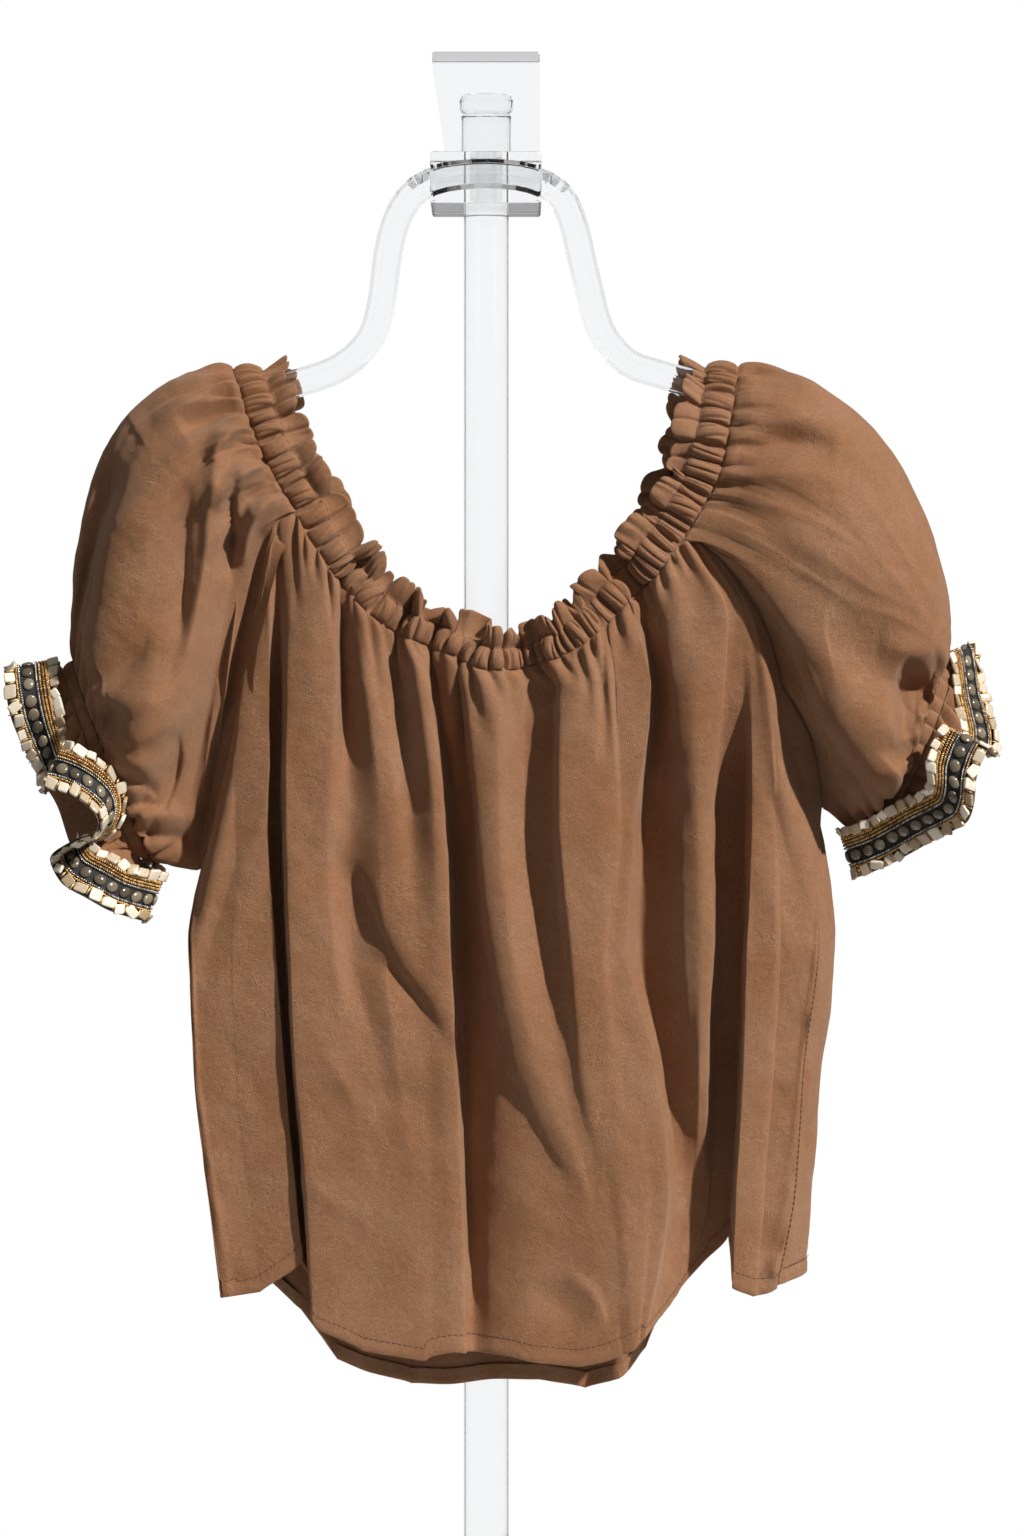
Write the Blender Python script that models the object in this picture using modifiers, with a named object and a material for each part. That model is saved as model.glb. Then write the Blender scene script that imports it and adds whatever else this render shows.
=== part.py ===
"""A gathered raglan peasant blouse, hung on a clear countertop stand.

Sizes are in millimetres and become metres as each mesh is made. X runs across the garment, the front faces
-Y and Z is up. The origin is the middle of the base's underside, on the axis of the post.
"""

import math

import bmesh
import bpy
import numpy as np

MM = 0.001
GAP = 0.32            # between two pieces that meet at a seam
CUFF_GAP = 0.45       # between a sleeve and its elastic, which have different numbers of strips
WALL = 1.2            # the cloth
HEM_WALL = 2.2        # the cloth turned up and stitched, at the hems
CASING_WALL = (-1.5, 0.5)
TRIM_WALL = (0.35, 2.35)
YOKE_Y = -62.0        # the plane of the hanger and the side seams

# The stand, all of clear acrylic
BASE_R, BASE_H = 150.0, 12.0
POST_R = 12.7
BLOCK = ((-31.0, 31.0), (-80.0, 23.0), (792.0, 821.0))      # x, y and z of its faces
HEAD_R, HEAD_TOP = 14.3, 848.0
CAP_R, CAP_TOP = 15.3, 860.0
PLATE_Y, PLATE_T = 19.0, 5.0
PLATE_LIP = (880.0, 886.0)
PLATE_FOOT_X, PLATE_HEAD_X = (-22.5, 30.5), (-31.0, 30.5)
TUBE_R, BORE_GAP = 8.0, 0.3
# The hanger's bent tube, from one end to the other: x, z
TUBE_LINE = (
    (-182, 677.1), (-160, 680.1), (-136, 684.6), (-109, 691.6), (-85, 699.5), (-69.5, 711), (-62, 723),
    (-57.7, 742), (-55, 764), (-51, 781), (-43.5, 795.5), (-31, 805), (-16, 808.5), (0, 809.5), (16, 808.5),
    (30.2, 805), (42, 797), (49.3, 781), (53.2, 764), (57.7, 745), (62.7, 725.5), (69.5, 713.5), (81.8, 702.5),
    (96.3, 697.8), (115, 692.6), (140, 686.4), (165, 682.1), (188, 679.7),
)

# Heights at which each fold's place and depth are stated, between its top and the hem
LEVELS = (470.0, 380.0, 290.0)

# The front layer's middle, as distance before the yoke plane, and the back layer's, behind it
FRONT_DEPTH = ((620, 34), (531, 36), (470, 40), (380, 42), (290, 41), (150, 38))
BACK_DEPTH = ((640, 24), (545, 24), (470, 23), (380, 22), (290, 22), (130, 22))

# Front raglan seams, from the underarm up to the neck: height, x, y
LEFT_RAGLAN = (
    (421, -159.2, -62), (442, -153.6, -70), (465, -148.4, -78), (497, -141, -86), (525, -135.5, -91),
    (558, -128.2, -94), (580, -123.8, -95), (596, -121, -96), (608, -117.6, -96.5), (615, -114, -96.5),
    (619.4, -105.3, -96),
)
RIGHT_RAGLAN = (
    (456, 187.6, -62), (475, 185.9, -72), (493, 182, -80), (510, 173.6, -87), (525, 164.5, -91),
    (534, 162.5, -92), (547, 159, -93.5), (563, 152.3, -95), (581, 140.6, -96), (594, 129.4, -96.5),
    (607, 113.1, -96),
)
# The back raglan seams: height, x, y
LEFT_BACK_RAGLAN = ((421, -159.2, -62), (452, -151.5, -50), (500, -141, -42), (560, -126, -39), (605, -115, -38),
                    (620, -107, -38))
RIGHT_BACK_RAGLAN = ((456, 187.6, -62), (480, 181, -50), (520, 165, -42), (570, 145, -39), (602, 124, -38),
                     (614, 112.0, -38))

# The stitch line under the neck channel, on the front: x, height
FRONT_NECK = (
    (-105.3, 619.4), (-98.6, 606), (-91.8, 596), (-85, 585), (-75, 573), (-61.6, 560), (-48, 551), (-33, 545),
    (-15.7, 538), (-2, 532), (9, 531), (22, 532.5), (31, 535.5), (43, 539), (51, 543.5), (58, 549), (67, 556.5),
    (78, 568), (89, 578), (96, 585), (102.5, 595), (113.1, 607),
)
BACK_NECK = (
    (-107, 620), (-101, 598), (-90, 577), (-68, 553), (-38, 537), (-6, 527.5), (22, 528), (50, 534.5), (74, 553),
    (95, 582), (112.0, 614),
)
# The same stitch line over each shoulder, from the front raglan seam to the back one: x, y, height
LEFT_SHOULDER = (
    (-105.3, -96, 619.4), (-113.7, -96.5, 632.8), (-122, -96, 647.4), (-127.5, -94, 660), (-132.7, -90, 674),
    (-137, -82, 688), (-140.5, -72, 697.5), (-141.5, -62, 701), (-140, -53, 698.5), (-135, -46, 688),
    (-130, -41, 670), (-120, -38.5, 645), (-107, -38, 620),
)
RIGHT_SHOULDER = (
    (113.1, -96, 607), (120, -96.5, 619), (128.5, -96.5, 634.5), (133.3, -95, 652), (136.6, -91, 668),
    (139.2, -82, 685), (141, -72, 697.5), (141.5, -62, 702.5), (140, -53, 700), (136, -46, 688),
    (131, -41, 668), (122, -38.5, 641), (112.0, -38, 614),
)

# Folds of the front, from the left side seam to the right one. "top" is the height on a raglan seam, or the x
# on the neck, where the fold starts. x_ and d_ are its place and its depth towards the viewer at the top, at
# each of LEVELS and at the hem. "cells" is the number of mesh strips between this fold and the one before.
FRONT_FOLDS = (
    # name        from     top    x470    x380    x290    hem_x  hem_z  d_top d470 d380 d290 d_hem cells
    ("side_left", "left",  421,  -159.2, -165.5, -160.5, -147.3, 183,   0,   0,   0,   0,   0, 1),
    ("a_crest",   "left",  528,  -136.5, -140,   -135.5, -125.4, 186.5, 1,   7,  10,  10,  10, 5),
    ("a_lip",     "left",  600,  -117.6, -115.6, -107.6, -102,   206,   0,   2,   4,   4,   6, 3),
    ("v1",        "left",  616,  -113.6, -112,   -105.8, -99.4,  196,   0, -13, -14, -14, -12, 1),
    ("b_edge",    "left",  619.4, -110,  -108.4, -103,   -97.0,  171,   0,   3,   6,   6,   5, 1),
    ("b_ridge",   "neck",  -93,  -91.8,  -88.5,  -83.4,  -75,    155,   4,  10,  11,  11,  10, 2),
    ("v2",        "neck",  -80,  -76,    -69.4,  -63.8,  -56.6,  151,  -6,  -6,   4,   6,   6, 2),
    ("b_second",  "neck",  -64,  -55,    -51,    -47,    -41.4,  149,   4,   8,  10,   9,   8, 2),
    ("v3",        "neck",  -50,  -41.4,  -37,    -31.4,  -27,    151,  -5,  -4,   7,   9,   8, 2),
    ("b_crest",   "neck",  -38,  -25.2,  -23.5,  -17.4,  -13.4,  155,   6,  12,  15,  14,  13, 2),
    ("b_lip",     "neck",  -16,   -9.5,  -17.4,  -11.4,   -7.3,  157,   6,   8,   9,   8,   8, 1),
    ("v4",        "neck",   -4,   -2.2,   -6.7,    2.2,   13.4,  151,  -4,  -8, -16, -17, -16, 2),
    ("c_crest",   "neck",    8,   10.6,   13.4,   27.4,   49.8,  145,   5,   7,   6,   4,   3, 2),
    ("v5",        "neck",   22,   24.6,   34.7,   49.8,   63.8,  146,  -5,  -7,  -6,   3,   4, 2),
    ("d_crest",   "neck",   50,   62.7,   67.2,   77.8,   76.2,  151,   6,  11,  12,  11,   7, 3),
    ("d_lip",     "neck",   76,   88.5,   81.2,   94.6,   86.2,  160,   3,   6,   6,   6,   5, 2),
    ("v6",        "neck",   86,   97.4,   91.8,  101.9,   91.8,  165,  -5, -11, -11,  -2,   3, 1),
    ("e_crest",   "neck",   98,  113,    113,    112,     96.3,  172,   5,  10,  11,  11,   8, 2),
    ("e_lip",     "neck",  113.1, 128.8, 126.6,  119.3,   99.7,  179,   0,   4,   4,   5,   6, 2),
    ("v7",        "right", 600,  136.6,  136,    133,    134.5,  219,   0, -10, -14, -15, -14, 2),
    ("f_edge",    "right", 588,  146.7,  146.7,  143.4,  137.2,  189,   0,   2,   4,   5,   6, 2),
    ("f_crest",   "right", 564,  157.9,  162.4,  159,    150.6,  184,   1,   8,  10,   9,   9, 2),
    ("v8",        "right", 520,  169,    175.8,  169,    158,    186,   0,   2,   1,   2,   2, 2),
    ("side_right", "right", 456, 187.6,  184.2,  174.2,  162.5,  188,   0,   0,   0,   0,   0, 3),
)
# Folds of the back, the same way round, with their depth away from the viewer. The back turns the right edge.
BACK_FOLDS = (
    ("side_left", "left",  421,  -159.2, -165.5, -160.5, -147.3, 183,   0,   0,   0,   0,   0, 1),
    ("a_crest",   "left",  520,  -141,   -143,   -138,   -126,   191,   0,   4,   8,   8,   8, 5),
    ("a_valley",  "left",  600,  -119,   -120,   -112,   -104,   182,   0,  -5,  -8,  -8,  -8, 3),
    ("b_crest",   "left",  620,  -102,    -98,    -90,    -84,   152,   0,   6,   8,   8,   8, 2),
    ("b_valley",  "neck",  -86,   -80,    -76,    -70,    -64,   143,  -3,  -6,  -6,  -7,  -7, 2),
    ("c_crest",   "neck",  -64,   -54,    -52,    -48,    -42,   136,   3,   7,   8,   8,   8, 2),
    ("c_valley",  "neck",  -34,   -30,    -30,    -26,    -20,   135,  -3,  -6,  -8,  -9,  -9, 2),
    ("d_crest",   "neck",   -6,    -4,     -2,      0,      4,   137,   3,   7,   8,   8,   7, 2),
    ("d_valley",  "neck",   20,    24,     24,     26,     30,   140,  -3,  -7,  -8,  -8,  -7, 2),
    ("e_crest",   "neck",   46,    54,     54,     56,     56,   133,   3,   7,   9,   8,   8, 2),
    ("e_valley",  "neck",   72,    80,     80,     82,     75,   142,  -3,  -6,  -8,  -9,  -8, 2),
    ("f_crest",   "neck",   95,   104,    104,    106,     90,   165,   3,   8,   8,   8,   7, 2),
    ("f_valley",  "right", 614,   127,    126,    124,    118,   210,   0,  -5,  -8,  -8,  -8, 2),
    ("g_crest",   "right", 586,   150,    150,    146,    140,   214,   0,   6,   8,   8,   7, 2),
    ("g_valley",  "right", 520,   172,    175,    170,    161,   200,   0,   2,   2,   2,   1, 2),
    ("turn",      "right", 468,  187.0,  195.3,  186.0,  179.5, 194,   0,   0,   0,   0,   0, 3),
    ("side_right", "right", 456, 187.6,  184.2,  174.2,  162.5,  188,   0,   0,   0,   0,   0, 1),
)
SEAM_TURN = 17.0      # how far the right side seam has come round to the front
ROWS = (0.0, 0.035, 0.11, 0.21, 0.32, 0.44, 0.56, 0.68, 0.80, 0.91, 0.972, 1.0)
HEM_ROWS = 2

# Width of the channel and of the frill above it, by x across the neck
CHANNEL_WIDTH = ((-142, 15.5), (-105, 15), (-60, 14), (0, 12), (60, 14), (110, 17.5), (142, 18))
HEADER_WIDTH = ((-142, 12), (-105, 13), (-60, 12.5), (0, 12), (60, 12.5), (110, 11.5), (142, 12))
HEADER_WAVE = 2.2
SHOULDER_LIFT = 6.0   # how far the frill stands up over each shoulder

# Sleeves, by turn round the armhole: 0 underarm, 0.25 front raglan top, 0.5 shoulder, 0.75 back raglan top.
# "cuff" is the angle reached on the cuff from its lowest point; out_ is the pull of the cloth leaving the
# armhole and in_ its pull arriving at the cuff, each as x away from the body, y and z.
SLEEVE_PULLS = {
    # turn  cuff  out_x out_y out_z  in_x  in_y  in_z
    "left": (
        (0.00,    0,   8,    0,    0,    -5,    0,   -5),
        (0.08,   35,  14,  -22,   -4,    -4,  -20,   -5),
        (0.16,   62,  22,  -34,   -8,     4,  -36,    2),
        (0.25,   95,  36,  -26,   -4,     8,  -38,   26),
        (0.37,  135,  50,  -22,    4,     4,  -26,   60),
        (0.50,  180,  74,    0,   -9,     2,    0,  102),
        (0.63,  225,  50,   16,    4,     4,   22,   60),
        (0.75,  265,  40,   20,    4,     6,   28,   26),
        (0.84,  298,  22,   24,   -4,     2,   28,    2),
        (0.92,  325,  14,   16,   -6,    -4,   16,   -6),
        (1.00,  360,   8,    0,    0,    -5,    0,   -5),
    ),
    "right": (
        (0.00,    0,  10,    0,   -2,    -5,    0,   -6),
        (0.08,   35,  16,  -22,   -6,    -2,  -20,   -6),
        (0.14,   55,  20,  -30,  -12,     8,  -34,    0),
        (0.20,   76,  22,  -28,  -18,    13,  -36,    8),
        (0.25,   95,  30,  -24,  -10,    16,  -36,   16),
        (0.37,  135,  56,  -22,    6,    18,  -26,   36),
        (0.50,  180,  86,    0,    5,    15,    0,   60),
        (0.63,  225,  56,   16,    6,    14,   22,   36),
        (0.75,  265,  40,   20,    4,    10,   28,   16),
        (0.84,  298,  22,   24,   -4,     4,   28,    0),
        (0.92,  325,  18,   14,   -2,    -2,   16,   -2),
        (1.00,  360,  10,    0,   -2,    -5,    0,   -6),
    ),
}
# Large folds of the sleeves: turn at the armhole and at the cuff, width in turns, depth outward, and the part
# of the way from armhole to cuff where it runs
SLEEVE_FOLDS = {
    "left": (
        ("crest_over_tube", 0.44, 0.47, 0.045,  3.0, 0.00, 0.50),
        ("outer_furrow",    0.45, 0.42, 0.035, -6.0, 0.35, 0.98),
        ("front_roll",      0.32, 0.35, 0.050,  5.0, 0.05, 0.85),
        ("front_hollow",    0.25, 0.27, 0.040, -7.0, 0.15, 0.80),
        ("low_roll",        0.17, 0.20, 0.045,  6.0, 0.15, 1.00),
        ("low_hollow",      0.10, 0.12, 0.035, -6.0, 0.25, 0.95),
        ("back_roll",       0.66, 0.63, 0.060,  5.0, 0.10, 0.90),
        ("back_hollow",     0.76, 0.73, 0.050, -6.0, 0.15, 0.85),
        ("back_low_roll",   0.86, 0.83, 0.050,  5.0, 0.20, 0.95),
    ),
    "right": (
        ("crest_over_tube", 0.45, 0.46, 0.050,  2.5, 0.00, 0.50),
        ("front_roll",      0.30, 0.36, 0.070,  5.0, 0.10, 0.95),
        ("front_hollow",    0.20, 0.27, 0.050, -6.0, 0.45, 1.00),
        ("low_roll",        0.12, 0.18, 0.060,  7.0, 0.20, 1.00),
        ("low_hollow",      0.06, 0.09, 0.030, -4.0, 0.30, 0.90),
        ("back_roll",       0.66, 0.63, 0.060,  5.0, 0.10, 0.90),
        ("back_hollow",     0.76, 0.73, 0.050, -6.0, 0.15, 0.85),
        ("back_low_roll",   0.86, 0.83, 0.050,  5.0, 0.20, 0.95),
    ),
}
SLEEVE_ROWS = (0.0, 0.06, 0.18, 0.32, 0.47, 0.62, 0.77, 0.90, 1.0)
CUFF_GATHERS, CUFF_GATHER_DEPTH = 7, 3.0

# Each cuff: its middle, half its height (top to middle) and half its depth (front to middle), each x, y, z
CUFFS = {
    "left": dict(side=-1, middle=(-209, -62, 482.5), up=(-21.8, 0, 55.3), front=(-1.5, -25, 0),
                 axis=(-0.93, 0.0, -0.36)),
    "right": dict(side=1, middle=(232, -62, 492.5), up=(21.3, 0, 47.9), front=(7, -26, 0),
                  axis=(0.90, 0.12, -0.40)),
}
ELASTIC_WIDTH = 8.0
TRIM_WIDTH = 24.0
# The frill of each cuff: angle round the cuff from its top by the front, the trim's inner edge, and a point
# beyond its outer edge that shows which way the trim lies there
FRILLS = {
    "left": (
        # angle  in_x   in_y  in_z  out_x  out_y out_z
        (10,   -245.3,  -70, 535.4, -270.5,  -72, 530.9),
        (35,   -243.6,  -82, 520.8, -266.6,  -86, 515.2),
        (55,   -240.2,  -88, 505.0, -263.8,  -84, 494.0),
        (68,   -234.0,  -84, 490.0, -250.9,  -72, 475.0),
        (78,   -233.0,  -95, 483.5, -244.2, -102, 464.0),
        (88,   -221.8, -104, 479.0, -230.2, -117, 459.5),
        (98,   -209.5, -106, 471.0, -217.3, -120, 451.0),
        (108,  -204.4, -100, 459.5, -212.8, -114, 443.0),
        (118,  -209.4,  -90, 443.0, -226.0, -104, 438.0),
        (130,  -222.0,  -80, 436.0, -243.0,  -87, 426.0),
        (142,  -220.6,  -88, 430.0, -237.4,  -97, 413.0),
        (155,  -209.4,  -90, 423.4, -222.9, -100, 403.0),
        (168,  -197.1,  -84, 417.0, -208.3,  -92, 397.0),
        (182,  -182.5,  -70, 413.3, -190.4,  -74, 393.7),
        (205,  -188.0,  -50, 420.0, -204.0,  -46, 402.0),
        (235,  -212.0,  -36, 440.0, -233.0,  -30, 428.0),
        (265,  -222.0,  -30, 465.0, -244.0,  -22, 456.0),
        (295,  -236.0,  -36, 490.0, -258.0,  -30, 480.0),
        (325,  -241.0,  -44, 515.0, -264.0,  -42, 508.0),
        (350,  -245.0,  -57, 533.0, -270.0,  -57, 529.0),
    ),
    "right": (
        (5,     261.0,  -66, 541.0,  274.0,  -50, 546.0),
        (25,    262.5,  -78, 529.5,  276.0,  -62, 532.0),
        (42,    264.2,  -84, 519.7,  279.0,  -67, 520.0),
        (55,    266.0,  -87, 511.0,  281.1,  -71, 508.5),
        (66,    263.2,  -90, 503.0,  282.2,  -78, 498.4),
        (76,    258.7,  -94, 497.3,  280.0,  -87, 489.0),
        (86,    254.2,  -99, 490.6,  277.0,  -98, 482.0),
        (96,    250.9, -103, 483.3,  273.5, -105, 474.0),
        (106,   248.1, -104, 474.3,  270.0, -108, 464.0),
        (116,   245.3, -100, 465.5,  265.4, -104, 453.5),
        (128,   239.7,  -93, 458.6,  258.7,  -94, 445.8),
        (140,   232.5,  -87, 453.0,  249.8,  -85, 438.0),
        (153,   223.5,  -81, 446.0,  239.0,  -77, 429.0),
        (166,   212.5,  -75, 440.0,  226.0,  -70, 421.0),
        (182,   203.5,  -64, 437.5,  213.5,  -60, 416.5),
        (202,   209.0,  -49, 440.0,  220.0,  -44, 421.0),
        (230,   226.0,  -40, 455.0,  243.0,  -32, 440.0),
        (262,   238.0,  -34, 480.0,  260.0,  -28, 470.0),
        (295,   250.0,  -38, 505.0,  272.0,  -32, 499.0),
        (330,   258.0,  -50, 530.0,  278.0,  -38, 531.0),
    ),
}
CUFF_COLUMNS = 38

CLOTH = (0.235, 0.122, 0.068)
TRIM = (0.55, 0.42, 0.22)
ACRYLIC = (0.95, 0.96, 0.96)


# ---------------------------------------------------------------------------------------------- tools

def ease(knots, values, at):
    """A smooth curve through the values that is level at each peak and never overshoots."""
    knots, values, at = np.asarray(knots, float), np.asarray(values, float), np.asarray(at, float)
    step = np.diff(knots)
    slope = np.diff(values) / step
    tangent = np.zeros(len(values))
    tangent[0], tangent[-1] = slope[0], slope[-1]
    for i in range(1, len(slope)):
        if slope[i - 1] * slope[i] > 0:
            tangent[i] = 2 * slope[i - 1] * slope[i] / (slope[i - 1] + slope[i])
    cell = np.clip(np.searchsorted(knots, at, side="right") - 1, 0, len(step) - 1)
    h = step[cell]
    t = np.clip((at - knots[cell]) / h, 0, 1)
    start = values[cell] * (1 + 2 * t) * (1 - t) ** 2 + h * tangent[cell] * t * (1 - t) ** 2
    return start + values[cell + 1] * t * t * (3 - 2 * t) + h * tangent[cell + 1] * t * t * (t - 1)


def at_height(table, z):
    """x and y of a seam at a height."""
    rows = np.array(table, float)
    return float(ease(rows[:, 0], rows[:, 1], z)), float(ease(rows[:, 0], rows[:, 2], z))


def by_first(table, at, column=1):
    """A column of a table, eased along its first column, whichever way that runs."""
    rows = np.array(sorted(table), float)
    return ease(rows[:, 0], rows[:, column], at)


def unit(v):
    v = np.asarray(v, float)
    return v / np.maximum(np.linalg.norm(v, axis=-1, keepdims=True), 1e-9)


def evenly(points, count):
    """count + 1 points at equal steps of length along a line."""
    points = np.asarray(points, float)
    run = np.concatenate([[0], np.cumsum(np.linalg.norm(np.diff(points, axis=0), axis=1))])
    at = np.linspace(0, run[-1], count + 1)
    return np.stack([ease(run, points[:, k], at) for k in range(3)], axis=1)


# ---------------------------------------------------------------------------------------------- cloth

def layer_y(folds_side, x, z, left, right, depth_table, sign):
    """y of the flat layer: at its edges it meets the seams, and between them it bows out by its depth."""
    share = np.clip((x - left[0]) / (right[0] - left[0]), 0, 1)
    edge = left[1] * (1 - share) + right[1] * share
    middle = YOKE_Y + sign * float(by_first(depth_table, z))
    return edge + (middle - edge) * math.sqrt(max(0.0, 1 - (2 * share - 1) ** 2))


def body_panel(folds, sign, left_raglan, right_raglan, neck):
    """The points of one body panel: columns run along its folds, rows from its top to the hem."""
    columns, tops = [], []
    for k, row in enumerate(folds):
        columns += [k] if k == 0 else list(np.linspace(k - 1, k, row[-1] + 1)[1:])
        if row[1] == "neck":
            tops.append((row[2], float(by_first(neck, row[2]))))
        else:
            seam = left_raglan if row[1] == "left" else right_raglan
            tops.append((at_height(seam, row[2])[0], row[2]))
    side_left, side_right = folds[0], folds[-1]
    turned = folds[-2][0] == "turn"

    def along(row, top, z):
        knots = [(row[7], row[6])]
        knots += [(level, x) for level, x in zip(LEVELS[::-1], row[3:6][::-1]) if level < top[1] - 8]
        knots.append((top[1], top[0]))
        knots = np.array(knots)
        return float(ease(knots[:, 0], knots[:, 1], z))

    def depth(row, top, z):
        knots = [(row[7], row[12])]
        knots += [(level, d) for level, d in zip(LEVELS[::-1], row[9:12][::-1]) if level < top[1] - 8]
        knots.append((top[1], row[8]))
        knots = np.array(knots)
        return float(ease(knots[:, 0], knots[:, 1], z))

    def edges(z):
        """Where the panel's two edges are at a height: a raglan seam above the underarm, a side seam below."""
        low_left, low_right = folds[0], folds[-2] if turned else folds[-1]
        if z >= left_raglan[0][0]:
            left = at_height(left_raglan, min(z, left_raglan[-1][0]))
        else:
            left = (along(low_left, tops[0], z), YOKE_Y)
        if z >= right_raglan[0][0]:
            right = at_height(right_raglan, min(z, right_raglan[-1][0]))
        elif turned:
            right = (along(low_right, tops[-2], z), YOKE_Y)
        else:
            right = (along(side_right, tops[-1], z), seam_y(z, tops[-1][1]))
        return left, right

    def seam_y(z, top_z):
        """The right side seam starts at the underarm and turns forward below it."""
        share = np.clip((top_z - z) / 60.0, 0, 1)
        return YOKE_Y - SEAM_TURN * share * share * (3 - 2 * share)

    grid = np.zeros((len(columns), len(ROWS), 3))
    for j, v in enumerate(ROWS):
        xs, ys, zs = [], [], []
        for k, (row, top) in enumerate(zip(folds, tops)):
            z = top[1] + (row[7] - top[1]) * v
            x = along(row, top, z)
            if k == 0:
                y = YOKE_Y
            elif k == len(folds) - 1:
                y = seam_y(z, top[1])
            elif row[0] == "turn":
                y = YOKE_Y
            else:
                left, right = edges(z)
                y = layer_y(folds, x, z, left, right, BACK_DEPTH if sign > 0 else FRONT_DEPTH, sign)
                y += sign * depth(row, top, z)
            xs.append(x)
            ys.append(y)
            zs.append(z)
        ks = np.arange(len(folds))
        grid[:, j, 0] = ease(ks, xs, columns)
        grid[:, j, 1] = ease(ks, ys, columns)
        grid[:, j, 2] = np.interp(columns, ks, zs)
    # The top row follows the seam lines exactly between the folds too, and the rows below ease away from them.
    ease_off = np.clip(1 - np.array(ROWS) / 0.45, 0, 1)[:, None] ** 2
    for i, c in enumerate(columns):
        low, high = int(math.floor(c)), min(int(math.ceil(c)), len(folds) - 1)
        kinds = {folds[low][1], folds[high][1]}
        x, y, z = grid[i, 0]
        if "neck" in kinds and low != high:
            on_seam = (x, y, float(by_first(neck, x)))
        elif "neck" in kinds:
            continue
        else:
            seam = left_raglan if kinds == {"left"} else right_raglan
            on_seam = (*at_height(seam, z), z)
        grid[i] += (np.array(on_seam) - grid[i, 0]) * ease_off
    return grid, np.array(columns)


def ring_lines(front, back, left_shoulder, right_shoulder):
    """The neck's stitch line all round, from the front's left end, and the two lines inside it."""
    line = np.concatenate([front[:-1], right_shoulder[:-1], back[::-1][:-1], left_shoulder[::-1][:-1]])
    count = len(line)
    tangent = unit(np.roll(line, -1, 0) - np.roll(line, 1, 0))
    # Into the neck: across the line, in the plane of the layer it lies on.
    middle = np.array([0.0, YOKE_Y, 760.0])
    inward = middle - line
    facing = np.where(line[:, 1] < YOKE_Y, -1.0, 1.0)
    up_shoulder = np.clip((line[:, 2] - 655) / 45, 0, 1)[:, None]
    normal = unit(np.stack([np.zeros(count), facing, np.zeros(count)], 1) * (1 - up_shoulder)
                  + up_shoulder * unit(np.stack([np.zeros(count), line[:, 1] - YOKE_Y, line[:, 2] - 672], 1)))
    across = unit(np.cross(normal, tangent))
    across *= np.sign((across * inward).sum(1))[:, None]
    for _ in range(2):
        across = unit(across + 0.5 * (np.roll(across, 1, 0) + np.roll(across, -1, 0)))
    channel = line + across * by_first(CHANNEL_WIDTH, line[:, 0])[:, None]
    header = channel + across * by_first(HEADER_WIDTH, line[:, 0])[:, None]
    wave = HEADER_WAVE * np.where(np.arange(count) % 2, 1.0, -1.0)[:, None]
    header = header + normal * wave + up_shoulder * (0, 0, SHOULDER_LIFT)
    return line, channel, header


def cuff_ring(cuff, angle, out=0.0, tighter=0.0):
    """A point on the cuff: angle from its top by the front, out along its axis."""
    a = np.radians(angle)[:, None]
    up, front = np.array(cuff["up"]), np.array(cuff["front"])
    up = up * (1 - tighter / np.linalg.norm(up))
    front = front * (1 - tighter / np.linalg.norm(front))
    return np.array(cuff["middle"]) + up * np.cos(a) + front * np.sin(a) + out * unit(cuff["axis"])


def sleeve(cuff, pulls, folds, armhole, turns):
    """The points of a sleeve: columns go round the armhole from the underarm by the front, rows to the cuff."""
    pulls = np.array(pulls)
    side = cuff["side"]
    pull = np.stack([ease(pulls[:, 0], pulls[:, c], turns) for c in range(1, 8)], axis=1)
    end = cuff_ring(cuff, 180 - pull[:, 0])
    out = pull[:, 1:4] * (side, 1, 1)
    back = pull[:, 4:7] * (side, 1, 1)
    grid = np.zeros((len(turns), len(SLEEVE_ROWS), 3))
    for j, v in enumerate(SLEEVE_ROWS):
        grid[:, j] = ((1 - v) ** 3 * armhole + 3 * v * (1 - v) ** 2 * (armhole + out)
                      + 3 * v * v * (1 - v) * (end + back) + v ** 3 * end)
    normal = grid_normals(grid, True) * side
    for j, v in enumerate(SLEEVE_ROWS):
        push = np.zeros(len(turns))
        for _, start, stop, width, deep, v0, v1 in folds:
            if v0 < v < v1:
                run = math.sin(math.pi * (v - v0) / (v1 - v0)) ** 0.6
                place = start + (stop - start) * v
                push += deep * run * np.exp(-((turns - place) / width) ** 2)
        ends = np.clip(np.minimum(turns, 1 - turns) / 0.06, 0, 1)
        gather = CUFF_GATHER_DEPTH * np.clip((v - 0.62) / 0.28, 0, 1) * (1 - np.clip((v - 0.9) / 0.1, 0, 1) * 0.4)
        push = push * ends + gather * np.cos(2 * np.pi * CUFF_GATHERS * turns) * ends
        if 0 < v < 1:
            grid[:, j] += normal[:, j] * push[:, None]
    return grid


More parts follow.
